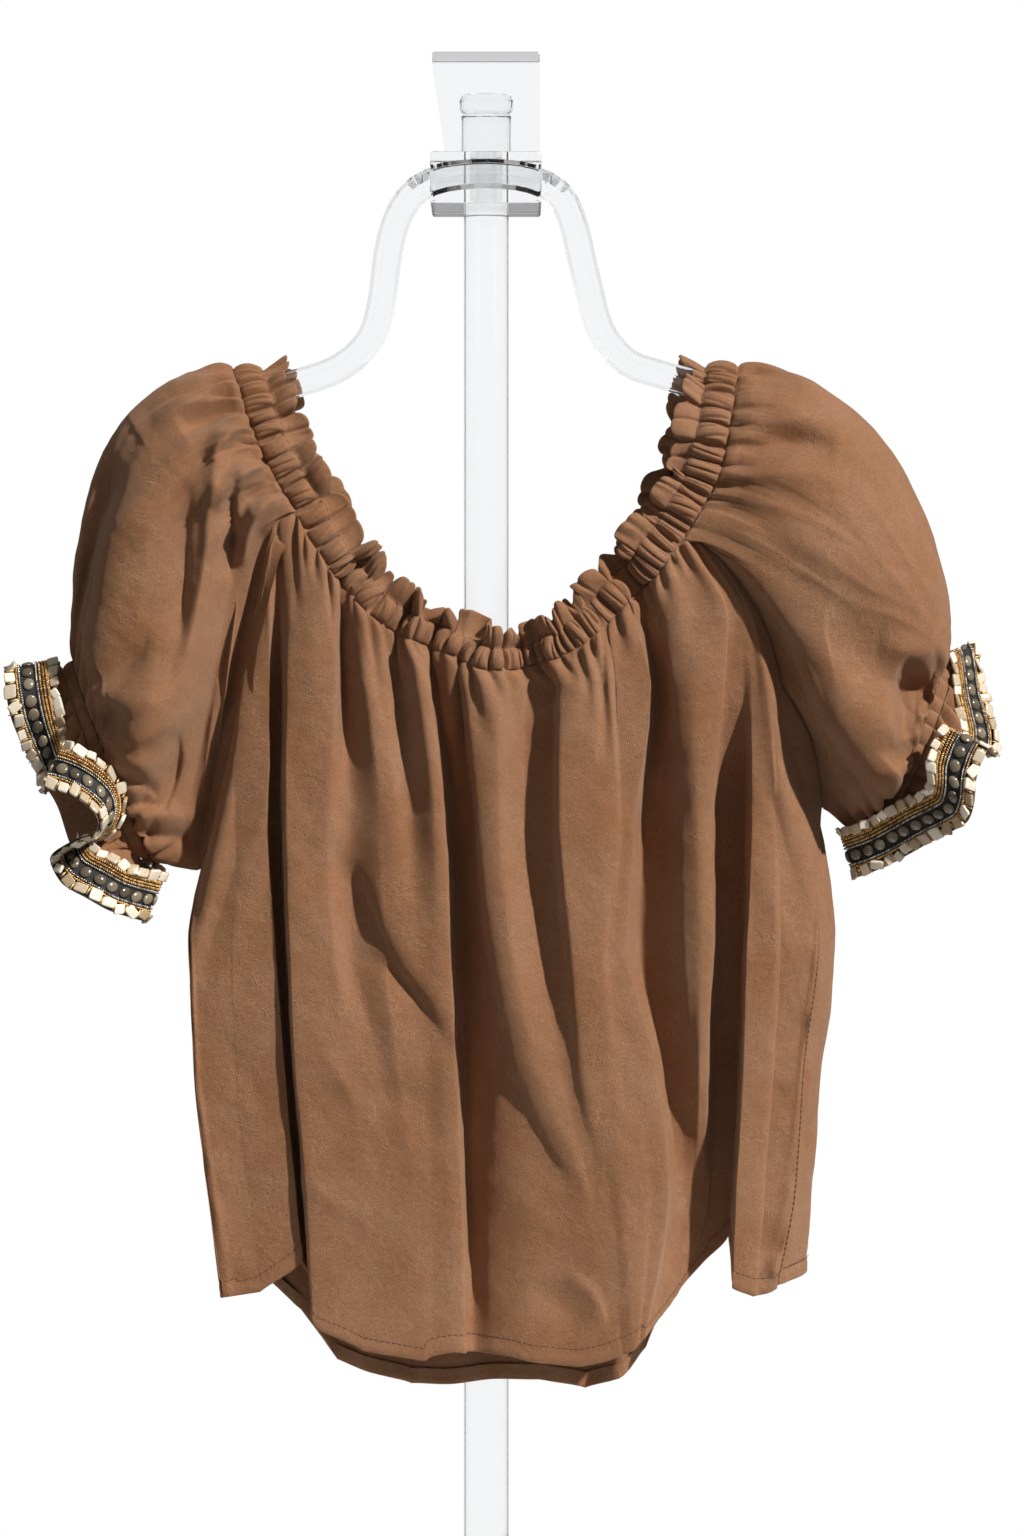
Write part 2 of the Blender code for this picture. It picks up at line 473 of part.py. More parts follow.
def frill(cuff, table, columns):
    """The points of a cuff's frill, from the elastic to the trim's outer edge: four rows round the cuff."""
    rows = np.array(table, float)
    rows = np.vstack([rows[-1], rows, rows[0], rows[1]])
    rows[0, 0] -= 360
    rows[-2:, 0] += 360
    fine = np.linspace(rows[1, 0], rows[1, 0] + 360, 721)
    line = np.stack([ease(rows[:, 0], rows[:, c], fine) for c in (4, 5, 6)], 1)
    run = np.concatenate([[0], np.cumsum(np.linalg.norm(np.diff(line, axis=0), axis=1))])
    angle = np.interp(np.linspace(0, run[-1], columns + 1)[:-1], run, fine)
    inner = np.stack([ease(rows[:, 0], rows[:, c], angle) for c in (1, 2, 3)], 1)
    outer = np.stack([ease(rows[:, 0], rows[:, c], angle) for c in (4, 5, 6)], 1)
    across = unit(outer - inner)
    start = cuff_ring(cuff, angle, ELASTIC_WIDTH, 2.0)
    middle = (start + inner) / 2 + unit(cuff["axis"]) * 1.5
    edge = inner + across * TRIM_WIDTH
    band = np.stack([cuff_ring(cuff, angle, CUFF_GAP, 0.0), start], axis=1)
    return band, np.stack([start, middle, inner, (inner + edge) / 2, edge], axis=1)


# ---------------------------------------------------------------------------------------------- meshes

def grid_normals(grid, closed):
    if closed:
        du = np.roll(grid, -1, 0) - np.roll(grid, 1, 0)
    else:
        du = np.gradient(grid, axis=0)
    dv = np.gradient(grid, axis=1)
    return unit(np.cross(du, dv))


class Cloth:
    """A piece of cloth as a grid of points with a normal at each, which faces out of the garment."""

    def __init__(self, name, grid, closed=False, flip=1.0, low=-WALL, high=0.0, seams=()):
        self.name, self.grid, self.closed = name, grid, closed
        self.normal = grid_normals(grid, closed) * flip
        self.low, self.high, self.seams = low, high, seams

    def keys(self):
        return [tuple(p) for p in np.round(self.grid.reshape(-1, 3), 2)]


def share_normals(pieces):
    """Gives the points that two pieces share at a seam one normal, so that their edges face each other."""
    found = {}
    for piece in pieces:
        for k, key in enumerate(piece.keys()):
            found.setdefault(key, []).append((piece, k))
    for members in found.values():
        if len(members) > 1:
            total = unit(sum(p.normal.reshape(-1, 3)[k] for p, k in members))
            for p, k in members:
                p.normal.reshape(-1, 3)[k] = total


def pull_back(piece):
    """Draws each seamed edge back by half the gap, in the surface and square to the edge."""
    grid, normal = piece.grid, piece.normal
    moved = grid.copy()
    half = GAP / 2

    def along(line):
        if piece.closed and len(line) == grid.shape[0]:
            return unit(np.roll(line, -1, 0) - np.roll(line, 1, 0))
        return unit(np.gradient(line, axis=0))

    def inward(edge, face, inside):
        across = unit(np.cross(face, along(edge)))
        return across * np.sign(((inside - edge) * across).sum(1))[:, None]

    if "first_row" in piece.seams:
        moved[:, 0] += half * inward(grid[:, 0], normal[:, 0], grid[:, 1])
    if "last_row" in piece.seams:
        moved[:, -1] += half * inward(grid[:, -1], normal[:, -1], grid[:, -2])
    if "first_column" in piece.seams:
        moved[0] += half * inward(grid[0], normal[0], grid[1])
    if "last_column" in piece.seams:
        moved[-1] += half * inward(grid[-1], normal[-1], grid[-2])
    piece.grid = moved


def wall_mesh(piece, low=None, high=None, material=None, smooth=True):
    """A closed solid between two offsets of the piece's grid. low and high may differ from row to row."""
    grid, normal = piece.grid, piece.normal
    across, along = grid.shape[:2]
    low = np.broadcast_to(np.asarray(piece.low if low is None else low, float), along)[None, :, None]
    high = np.broadcast_to(np.asarray(piece.high if high is None else high, float), along)[None, :, None]
    outer, inner = grid + normal * high, grid + normal * low
    points = np.concatenate([outer.reshape(-1, 3), inner.reshape(-1, 3)]) * MM
    shift = across * along

    def at(i, j):
        return (i % across) * along + j

    faces = []
    last = across if piece.closed else across - 1
    for i in range(last):
        for j in range(along - 1):
            quad = (at(i, j), at(i + 1, j), at(i + 1, j + 1), at(i, j + 1))
            faces += [quad, tuple(shift + q for q in quad[::-1])]
        for j in (0, along - 1):
            faces.append((at(i, j), at(i + 1, j), at(i + 1, j) + shift, at(i, j) + shift))
    if not piece.closed:
        for i in (0, across - 1):
            for j in range(along - 1):
                faces.append((at(i, j), at(i, j + 1), at(i, j + 1) + shift, at(i, j) + shift))
    return mesh_object(piece.name, points, faces, material, smooth)


def mesh_object(name, points, faces, material, smooth=False):
    mesh = bpy.data.meshes.new(name)
    mesh.from_pydata([tuple(p) for p in points], [], faces)
    bm = bmesh.new()
    bm.from_mesh(mesh)
    bmesh.ops.recalc_face_normals(bm, faces=bm.faces)
    bmesh.ops.triangulate(bm, faces=[f for f in bm.faces if len(f.verts) == 4])
    bm.to_mesh(mesh)
    bm.free()
    obj = bpy.data.objects.new(name, mesh)
    return finish(obj, material, smooth)


def finish(obj, material, smooth=False):
    if obj.name not in PARTS.objects:
        PARTS.objects.link(obj)
    for other in list(obj.users_collection):
        if other != PARTS:
            other.objects.unlink(obj)
    obj.data.materials.clear()
    obj.data.materials.append(material)
    if smooth:
        obj.data.shade_smooth()
    return obj


def paint(name, colour, rough, metal=0.0, glass=0.0):
    material = bpy.data.materials.new(name)
    material.use_nodes = True
    shader = material.node_tree.nodes["Principled BSDF"]
    shader.inputs["Base Color"].default_value = (*colour, 1)
    shader.inputs["Roughness"].default_value = rough
    shader.inputs["Metallic"].default_value = metal
    shader.inputs["Transmission Weight"].default_value = glass
    if glass:
        shader.inputs["IOR"].default_value = 1.49
    material.diffuse_color = (*colour, 1)
    return material


for old in list(bpy.data.objects):
    bpy.data.objects.remove(old, do_unlink=True)
PARTS = bpy.data.collections.new("peasant_blouse_on_stand")
bpy.context.scene.collection.children.link(PARTS)
CUTTERS = bpy.data.collections.new("cutters")
bpy.context.scene.collection.children.link(CUTTERS)
CUTTERS.hide_render = True

# ---------------------------------------------------------------------------------------------- garment

front_grid, front_columns = body_panel(FRONT_FOLDS, -1, LEFT_RAGLAN, RIGHT_RAGLAN, FRONT_NECK)
back_grid, back_columns = body_panel(BACK_FOLDS, 1, LEFT_BACK_RAGLAN, RIGHT_BACK_RAGLAN, BACK_NECK)


def column_of(folds, columns, name):
    return int(np.argmin(abs(columns - [row[0] for row in folds].index(name))))


front_left_top = column_of(FRONT_FOLDS, front_columns, "b_edge")
front_right_top = column_of(FRONT_FOLDS, front_columns, "e_lip")
back_left_top = column_of(BACK_FOLDS, back_columns, "b_crest")
back_right_top = column_of(BACK_FOLDS, back_columns, "f_valley")

SHOULDER_CELLS = 12
left_shoulder = evenly(LEFT_SHOULDER, SHOULDER_CELLS)
right_shoulder = evenly(RIGHT_SHOULDER, SHOULDER_CELLS)
for line, front_at, back_at in ((left_shoulder, front_left_top, back_left_top),
                                (right_shoulder, front_right_top, back_right_top)):
    line[0], line[-1] = front_grid[front_at, 0], back_grid[back_at, 0]

neck, channel_line, header_line = ring_lines(
    front_grid[front_left_top:front_right_top + 1, 0], back_grid[back_left_top:back_right_top + 1, 0],
    left_shoulder, right_shoulder)


def armhole_loop(front, shoulder, back):
    """The armhole from the underarm up the front, over the shoulder and down the back, and the turn of each."""
    loop = np.concatenate([front[:-1], shoulder[:-1], back[:-1]])
    turns = []
    for part, (low, high) in ((front, (0, 0.25)), (shoulder, (0.25, 0.75)), (back, (0.75, 1.0))):
        run = np.concatenate([[0], np.cumsum(np.linalg.norm(np.diff(part, axis=0), axis=1))])
        turns.append((low + (high - low) * run / run[-1])[:-1])
    return loop, np.concatenate(turns)


left_loop, left_turns = armhole_loop(front_grid[:front_left_top + 1, 0], left_shoulder,
                                     back_grid[:back_left_top + 1, 0][::-1])
right_loop, right_turns = armhole_loop(front_grid[front_right_top:, 0][::-1], right_shoulder,
                                       back_grid[back_right_top:, 0])

sleeves = {
    "left": sleeve(CUFFS["left"], SLEEVE_PULLS["left"], SLEEVE_FOLDS["left"], left_loop, left_turns),
    "right": sleeve(CUFFS["right"], SLEEVE_PULLS["right"], SLEEVE_FOLDS["right"], right_loop, right_turns),
}

pieces = [
    Cloth("front_panel", front_grid, seams=("first_row", "first_column", "last_column")),
    Cloth("back_panel", back_grid, flip=-1.0, seams=("first_row", "first_column", "last_column")),
    Cloth("neck_channel", np.stack([neck, channel_line], 1), True, flip=-1.0,
          low=CASING_WALL[0], high=CASING_WALL[1], seams=("first_row", "last_row")),
    Cloth("neck_frill", np.stack([channel_line, (channel_line + header_line) / 2, header_line], 1), True,
          flip=-1.0, seams=("first_row",)),
]
for side, sign in (("left", -1.0), ("right", 1.0)):
    cuff = CUFFS[side]
    axis = unit(cuff["axis"])
    sleeve_piece = Cloth(f"sleeve_{side}", sleeves[side], True, flip=sign, seams=("first_row",))
    band, ruffle = frill(cuff, FRILLS[side], CUFF_COLUMNS)
    band_piece = Cloth(f"cuff_elastic_{side}", band, True, flip=sign, low=-2.0, high=0.0, seams=("last_row",))
    ruffle_piece = Cloth(f"cuff_frill_{side}", ruffle, True, flip=sign, seams=("first_row",))
    for piece, row in ((sleeve_piece, -1), (band_piece, 0)):
        flat = piece.normal[:, row] - (piece.normal[:, row] @ axis)[:, None] * axis
        piece.normal[:, row] = unit(flat)
    pieces += [sleeve_piece, band_piece, ruffle_piece]

cloth_paint = {p.name: paint(f"suede_finish_{p.name}", CLOTH, 0.85) for p in pieces}
share_normals(pieces)
for piece in pieces:
    pull_back(piece)
    low = np.full(piece.grid.shape[1], piece.low)
    if piece.name.endswith("panel"):
        low[-HEM_ROWS:] = -HEM_WALL
    wall_mesh(piece, low, material=cloth_paint[piece.name])
    if piece.name.startswith("cuff_frill"):
        side = piece.name.split("_")[-1]
        trim = Cloth(f"trim_{side}", piece.grid[:, 2:], True)
        trim.normal = piece.normal[:, 2:]
        wall_mesh(trim, TRIM_WALL[0], TRIM_WALL[1], paint(f"jewelled_trim_{side}", TRIM, 0.4, 0.6))

# ---------------------------------------------------------------------------------------------- stand


def solid(bm, name, material, bevel=0.0, segments=2, smooth=True):
    """The shape in bm, in millimetres, as an object with its edges rounded."""
    bmesh.ops.scale(bm, vec=(MM, MM, MM), verts=bm.verts)
    mesh = bpy.data.meshes.new(name)
    bm.to_mesh(mesh)
    bm.free()
    obj = bpy.data.objects.new(name, mesh)
    finish(obj, material, smooth)
    if bevel:
        modifier = obj.modifiers.new("rounded", "BEVEL")
        modifier.width, modifier.segments, modifier.limit_method = bevel * MM, segments, "ANGLE"
    return obj


def rod(name, radius, low, high, material, bevel=0.0, sides=40):
    bm = bmesh.new()
    bmesh.ops.create_cone(bm, cap_ends=True, segments=sides, radius1=radius, radius2=radius, depth=high - low)
    bmesh.ops.translate(bm, vec=(0, 0, (high + low) / 2), verts=bm.verts)
    return solid(bm, name, material, bevel)


def prism(name, outline, low_y, high_y, material, bevel=0.0):
    """An outline in x and z, made solid from low_y to high_y."""
    bm = bmesh.new()
    front = [bm.verts.new((x, low_y, z)) for x, z in outline]
    back = [bm.verts.new((x, high_y, z)) for x, z in outline]
    bm.faces.new(front)
    bm.faces.new(back[::-1])
    for i in range(len(outline)):
        j = (i + 1) % len(outline)
        bm.faces.new((front[i], back[i], back[j], front[j]))
    bmesh.ops.recalc_face_normals(bm, faces=bm.faces)
    return solid(bm, name, material, bevel, smooth=False)


def tube(name, radius, ends, material):
    """The hanger's tube as a bevelled curve, made into a mesh. ends is its length beyond the stated line."""
    line = np.array([(x, YOKE_Y, z) for x, z in TUBE_LINE], float)
    line[0] += ends * unit(line[0] - line[1])
    line[-1] += ends * unit(line[-1] - line[-2])
    points = evenly(line, 64)
    curve = bpy.data.curves.new(name, "CURVE")
    curve.dimensions, curve.bevel_depth, curve.bevel_resolution = "3D", radius * MM, 2
    curve.use_fill_caps = True
    spline = curve.splines.new("POLY")
    spline.points.add(len(points) - 1)
    for point, place in zip(spline.points, points):
        point.co = (*(place * MM), 1)
    holder = bpy.data.objects.new(name + "_line", curve)
    bpy.context.scene.collection.objects.link(holder)
    bpy.context.view_layer.update()
    mesh = bpy.data.meshes.new_from_object(holder.evaluated_get(bpy.context.evaluated_depsgraph_get()))
    bpy.data.objects.remove(holder, do_unlink=True)
    bm = bmesh.new()
    bm.from_mesh(mesh)
    bmesh.ops.remove_doubles(bm, verts=bm.verts, dist=1e-6)
    bmesh.ops.recalc_face_normals(bm, faces=bm.faces)
    bm.to_mesh(mesh)
    bm.free()
    obj = bpy.data.objects.new(name, mesh)
    return finish(obj, material, True)


def cut(target, cutter):
    """Takes the cutter out of the target, and puts it away."""
    modifier = target.modifiers.new("bore_" + cutter.name, "BOOLEAN")
    modifier.operation, modifier.solver, modifier.object = "DIFFERENCE", "EXACT", cutter
    PARTS.objects.unlink(cutter)
    CUTTERS.objects.link(cutter)
    cutter.hide_render = True
    cutter.display_type = "WIRE"


def clear(name):
    return paint(name, ACRYLIC, 0.03, glass=1.0)


rod("base_plate", BASE_R, 0, BASE_H, clear("acrylic_base_plate"), bevel=1.5, sides=72)
rod("post", POST_R, BASE_H + GAP, BLOCK[2][1], clear("acrylic_post"), bevel=0.6)
rod("post_head", HEAD_R, BLOCK[2][1] + GAP, HEAD_TOP, clear("acrylic_post_head"), bevel=0.8)
rod("post_cap", CAP_R, HEAD_TOP + GAP, CAP_TOP, clear("acrylic_post_cap"), bevel=3.5)
tube("hanger_tube", TUBE_R, 0, clear("acrylic_hanger_tube"))
(bx0, bx1), (by0, by1), (bz0, bz1) = BLOCK
block = prism("clamp_block", ((bx0, bz0), (bx1, bz0), (bx1, bz1), (bx0, bz1)), by0, by1,
              clear("acrylic_clamp_block"), bevel=1.5)
cut(block, rod("post_bore", POST_R + BORE_GAP, bz0 - 20, bz1 + 20, clear("cutter_post")))
cut(block, tube("tube_bore", TUBE_R + BORE_GAP, 5, clear("cutter_tube")))
prism("sign_plate", ((PLATE_FOOT_X[0], bz1 + GAP), (PLATE_FOOT_X[1], bz1 + GAP), (PLATE_HEAD_X[1], PLATE_LIP[0]),
                     (PLATE_HEAD_X[0], PLATE_LIP[0])), PLATE_Y - PLATE_T / 2, PLATE_Y + PLATE_T / 2,
      clear("acrylic_sign_plate"), bevel=0.5)
prism("sign_plate_lip", ((PLATE_HEAD_X[0], PLATE_LIP[0] + GAP), (PLATE_HEAD_X[1], PLATE_LIP[0] + GAP),
                         (PLATE_HEAD_X[1], PLATE_LIP[1]), (PLATE_HEAD_X[0], PLATE_LIP[1])),
      PLATE_Y - PLATE_T, PLATE_Y + PLATE_T, clear("acrylic_sign_plate_lip"), bevel=1.2)
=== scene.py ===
# %% [markdown]
# # A gathered blouse on its clear stand
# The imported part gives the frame: every solid keeps its place and size, and this script gives it its looks.
# Lengths are worked out in millimetres, as a maker measures cloth, and become metres as each mesh is made.

# %% Load the frame
import math

import bmesh
import bpy
import numpy as np
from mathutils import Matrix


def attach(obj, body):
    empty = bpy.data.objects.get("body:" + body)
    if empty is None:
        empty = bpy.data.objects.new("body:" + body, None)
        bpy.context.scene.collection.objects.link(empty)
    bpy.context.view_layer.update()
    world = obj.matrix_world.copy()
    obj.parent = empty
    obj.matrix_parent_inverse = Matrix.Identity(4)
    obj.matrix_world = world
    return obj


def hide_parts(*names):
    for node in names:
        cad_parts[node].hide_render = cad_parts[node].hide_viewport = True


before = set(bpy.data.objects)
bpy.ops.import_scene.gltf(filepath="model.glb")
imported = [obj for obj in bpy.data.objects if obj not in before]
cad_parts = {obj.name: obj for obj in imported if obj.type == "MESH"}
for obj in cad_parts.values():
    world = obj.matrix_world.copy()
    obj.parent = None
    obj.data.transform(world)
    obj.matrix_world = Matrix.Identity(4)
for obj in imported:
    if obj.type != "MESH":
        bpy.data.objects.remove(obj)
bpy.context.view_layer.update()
MM = 0.001
YOKE_Y = -62.0        # the plane of the hanger and of the side seams

# %% [markdown]
# ## Smooth lines through a few numbers
# A fold is stated as a few numbers and has to become a smooth line. A Bezier curve would swing past its
# points. `ease` is level at each peak, so a crest stays as high as its table says.

# %% Smooth lines


def ease(knots, values, at):
    """A smooth curve through the values that is level at each peak and never overshoots."""
    knots, values, at = np.asarray(knots, float), np.asarray(values, float), np.asarray(at, float)
    step = np.diff(knots)
    slope = np.diff(values) / step
    tangent = np.zeros(len(values))
    tangent[0], tangent[-1] = slope[0], slope[-1]
    for i in range(1, len(slope)):
        if slope[i - 1] * slope[i] > 0:
            tangent[i] = 2 * slope[i - 1] * slope[i] / (slope[i - 1] + slope[i])
    cell = np.clip(np.searchsorted(knots, at, side="right") - 1, 0, len(step) - 1)
    h = step[cell]
    t = np.clip((at - knots[cell]) / h, 0, 1)
    start = values[cell] * (1 + 2 * t) * (1 - t) ** 2 + h * tangent[cell] * t * (1 - t) ** 2
    return start + values[cell + 1] * t * t * (3 - 2 * t) + h * tangent[cell + 1] * t * t * (t - 1)


def by_first(table, at, column=1):
    """A column of a table, eased along its first column, whichever way that runs."""
    rows = np.array(sorted(table), float)
    return ease(rows[:, 0], rows[:, column], at)


print("halfway from 0 to 4:", ease((-1, 0, 1, 2), (0, 0, 4, 4), 0.5))

# %% [markdown]
# ## Lengths and directions
# A maker measures along the cloth. `run_of` is that tape measure, `evenly` marks equal steps along it, and
# `ramp` fades one thing into another. Folds push cloth out along its own facing, which `grid_normals` finds.
# No real cloth is even, so `ripple` adds up a few crossing waves in a fixed random order.

# %% Lengths and directions


def unit(v):
    v = np.asarray(v, float)
    return v / np.maximum(np.linalg.norm(v, axis=-1, keepdims=True), 1e-9)


def run_of(points):
    """Length along a line of points, at each of them."""
    return np.concatenate([[0], np.cumsum(np.linalg.norm(np.diff(points, axis=0), axis=1))])


def evenly(points, count):
    """count + 1 points at equal steps of length along a line."""
    points = np.asarray(points, float)
    run = run_of(points)
    at = np.linspace(0, run[-1], count + 1)
    return np.stack([ease(run, points[:, k], at) for k in range(3)], axis=1)


def ramp(x, low, high):
    t = np.clip((np.asarray(x, float) - low) / (high - low), 0, 1)
    return t * t * (3 - 2 * t)


def grid_normals(grid, closed):
    du = np.roll(grid, -1, 0) - np.roll(grid, 1, 0) if closed else np.gradient(grid, axis=0)
    return unit(np.cross(du, np.gradient(grid, axis=1)))


RIPPLE_WAVES = 7


def ripple(p, scale, seed):
    """Soft unevenness between -1 and 1, from a few waves that cross at odd angles."""
    draw = np.random.default_rng(seed)
    total = np.zeros(p.shape[:-1])
    for _ in range(RIPPLE_WAVES):
        way = unit(draw.normal(size=3))
        total += np.sin(p @ way * (2 * np.pi / (scale * draw.uniform(0.7, 1.5))) + draw.uniform(0, 6.28))
    return total / 4.0


print("one ripple:", ripple(np.zeros((1, 3)), 40.0, 1).round(2))

# %% [markdown]
# ## Meshes from points
# Every piece goes through `plain_mesh`, which makes metres of millimetres and lets the piece ride on the
# frame's only body. Cloth is a grid of points, columns along its folds and rows across them. It could be
# solidified, but cloth this thin is one sheet here, with its visible edges turned under like a hem.

# %% Meshes from points and grids
GARMENT = bpy.data.collections.new("blouse_dressed")
bpy.context.scene.collection.children.link(GARMENT)


def plain_mesh(name, points, faces, material, tint=None):
    mesh = bpy.data.meshes.new(name)
    faces = faces if isinstance(faces, list) else faces.tolist()
    mesh.from_pydata((np.asarray(points) * MM).tolist(), [], faces)
    mesh.materials.append(material)
    if tint is not None:
        attribute = mesh.attributes.new("tint", "FLOAT", "POINT")
        attribute.data.foreach_set("value", np.asarray(tint, np.float32))
    mesh.shade_smooth()
    obj = bpy.data.objects.new(name, mesh)
    GARMENT.objects.link(obj)
    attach(obj, "root")
    return obj


def sheet_mesh(name, grid, material, closed=False):
    across, along = grid.shape[:2]
    index = np.arange(across * along).reshape(across, along)
    left = index if closed else index[:-1]
    right = np.roll(index, -1, 0) if closed else index[1:]
    quads = np.stack([left[:, :-1], right[:, :-1], right[:, 1:], left[:, 1:]], -1).reshape(-1, 4)
    return plain_mesh(name, grid.reshape(-1, 3), quads, material)


def area_of(obj):
    return sum(face.area for face in obj.data.polygons)


print("pieces go into", GARMENT.name)

# %% [markdown]
# ## The body's seams
# The tables from here on are those that the part's solids are made from, in mm: x runs across the garment,
# the front faces -y and z is up. A raglan seam joins sleeve and body from the underarm to the neck, and the
# neck's stitch line runs across the front, over both shoulders and across the back.

# %% Seams
# Front raglan seams, from the underarm up to the neck: height, x, y
LEFT_RAGLAN = (
    (421, -159.2, -62), (442, -153.6, -70), (465, -148.4, -78), (497, -141, -86), (525, -135.5, -91),
    (558, -128.2, -94), (580, -123.8, -95), (596, -121, -96), (608, -117.6, -96.5), (615, -114, -96.5),
    (619.4, -105.3, -96),
)
RIGHT_RAGLAN = (
    (456, 187.6, -62), (475, 185.9, -72), (493, 182, -80), (510, 173.6, -87), (525, 164.5, -91),
    (534, 162.5, -92), (547, 159, -93.5), (563, 152.3, -95), (581, 140.6, -96), (594, 129.4, -96.5),
    (607, 113.1, -96),
)
# The back raglan seams: height, x, y
LEFT_BACK_RAGLAN = (
    (421, -159.2, -62), (452, -151.5, -50), (500, -141, -42), (560, -126, -39), (605, -115, -38),
    (620, -107, -38),
)
RIGHT_BACK_RAGLAN = (
    (456, 187.6, -62), (480, 181, -50), (520, 165, -42), (570, 145, -39), (602, 124, -38), (614, 112.0, -38),
)
# The stitch line under the neck channel, on the front: x, height
FRONT_NECK = (
    (-105.3, 619.4), (-98.6, 606), (-91.8, 596), (-85, 585), (-75, 573), (-61.6, 560), (-48, 551), (-33, 545),
    (-15.7, 538), (-2, 532), (9, 531), (22, 532.5), (31, 535.5), (43, 539), (51, 543.5), (58, 549),
    (67, 556.5), (78, 568), (89, 578), (96, 585), (102.5, 595), (113.1, 607),
)
BACK_NECK = (
    (-107, 620), (-101, 598), (-90, 577), (-68, 553), (-38, 537), (-6, 527.5), (22, 528), (50, 534.5),
    (74, 553), (95, 582), (112.0, 614),
)
# The same stitch line over each shoulder, from the front raglan seam to the back one: x, y, height
LEFT_SHOULDER = (
    (-105.3, -96, 619.4), (-113.7, -96.5, 632.8), (-122, -96, 647.4), (-127.5, -94, 660), (-132.7, -90, 674),
    (-137, -82, 688), (-140.5, -72, 697.5), (-141.5, -62, 701), (-140, -53, 698.5), (-135, -46, 688),
    (-130, -41, 670), (-120, -38.5, 645), (-107, -38, 620),
)
RIGHT_SHOULDER = (
    (113.1, -96, 607), (120, -96.5, 619), (128.5, -96.5, 634.5), (133.3, -95, 652), (136.6, -91, 668),
    (139.2, -82, 685), (141, -72, 697.5), (141.5, -62, 702.5), (140, -53, 700), (136, -46, 688),
    (131, -41, 668), (122, -38.5, 641), (112.0, -38, 614),
)
print("neck from", min(z for _, z in FRONT_NECK), "to", max(z for *_, z in LEFT_SHOULDER), "mm up")

# %% [markdown]
# ## Folds of the front
# The front falls in some forty lines of folds that drift and overlap on the way down. A cloth simulation
# would make folds of its own, not these. So each is a row: where it starts, passes and ends, and then how
# far it stands towards the viewer at the same heights.

# %% Front folds
# Heights at which each fold's place and depth are stated, between its top and the hem
FRONT_LEVELS = (560.0, 520.0, 450.0, 380.0, 310.0, 240.0)
# The front layer's middle, as distance before the yoke plane, by height
FRONT_DEPTH = ((620, 34), (531, 36), (470, 40), (380, 42), (290, 41), (150, 38))
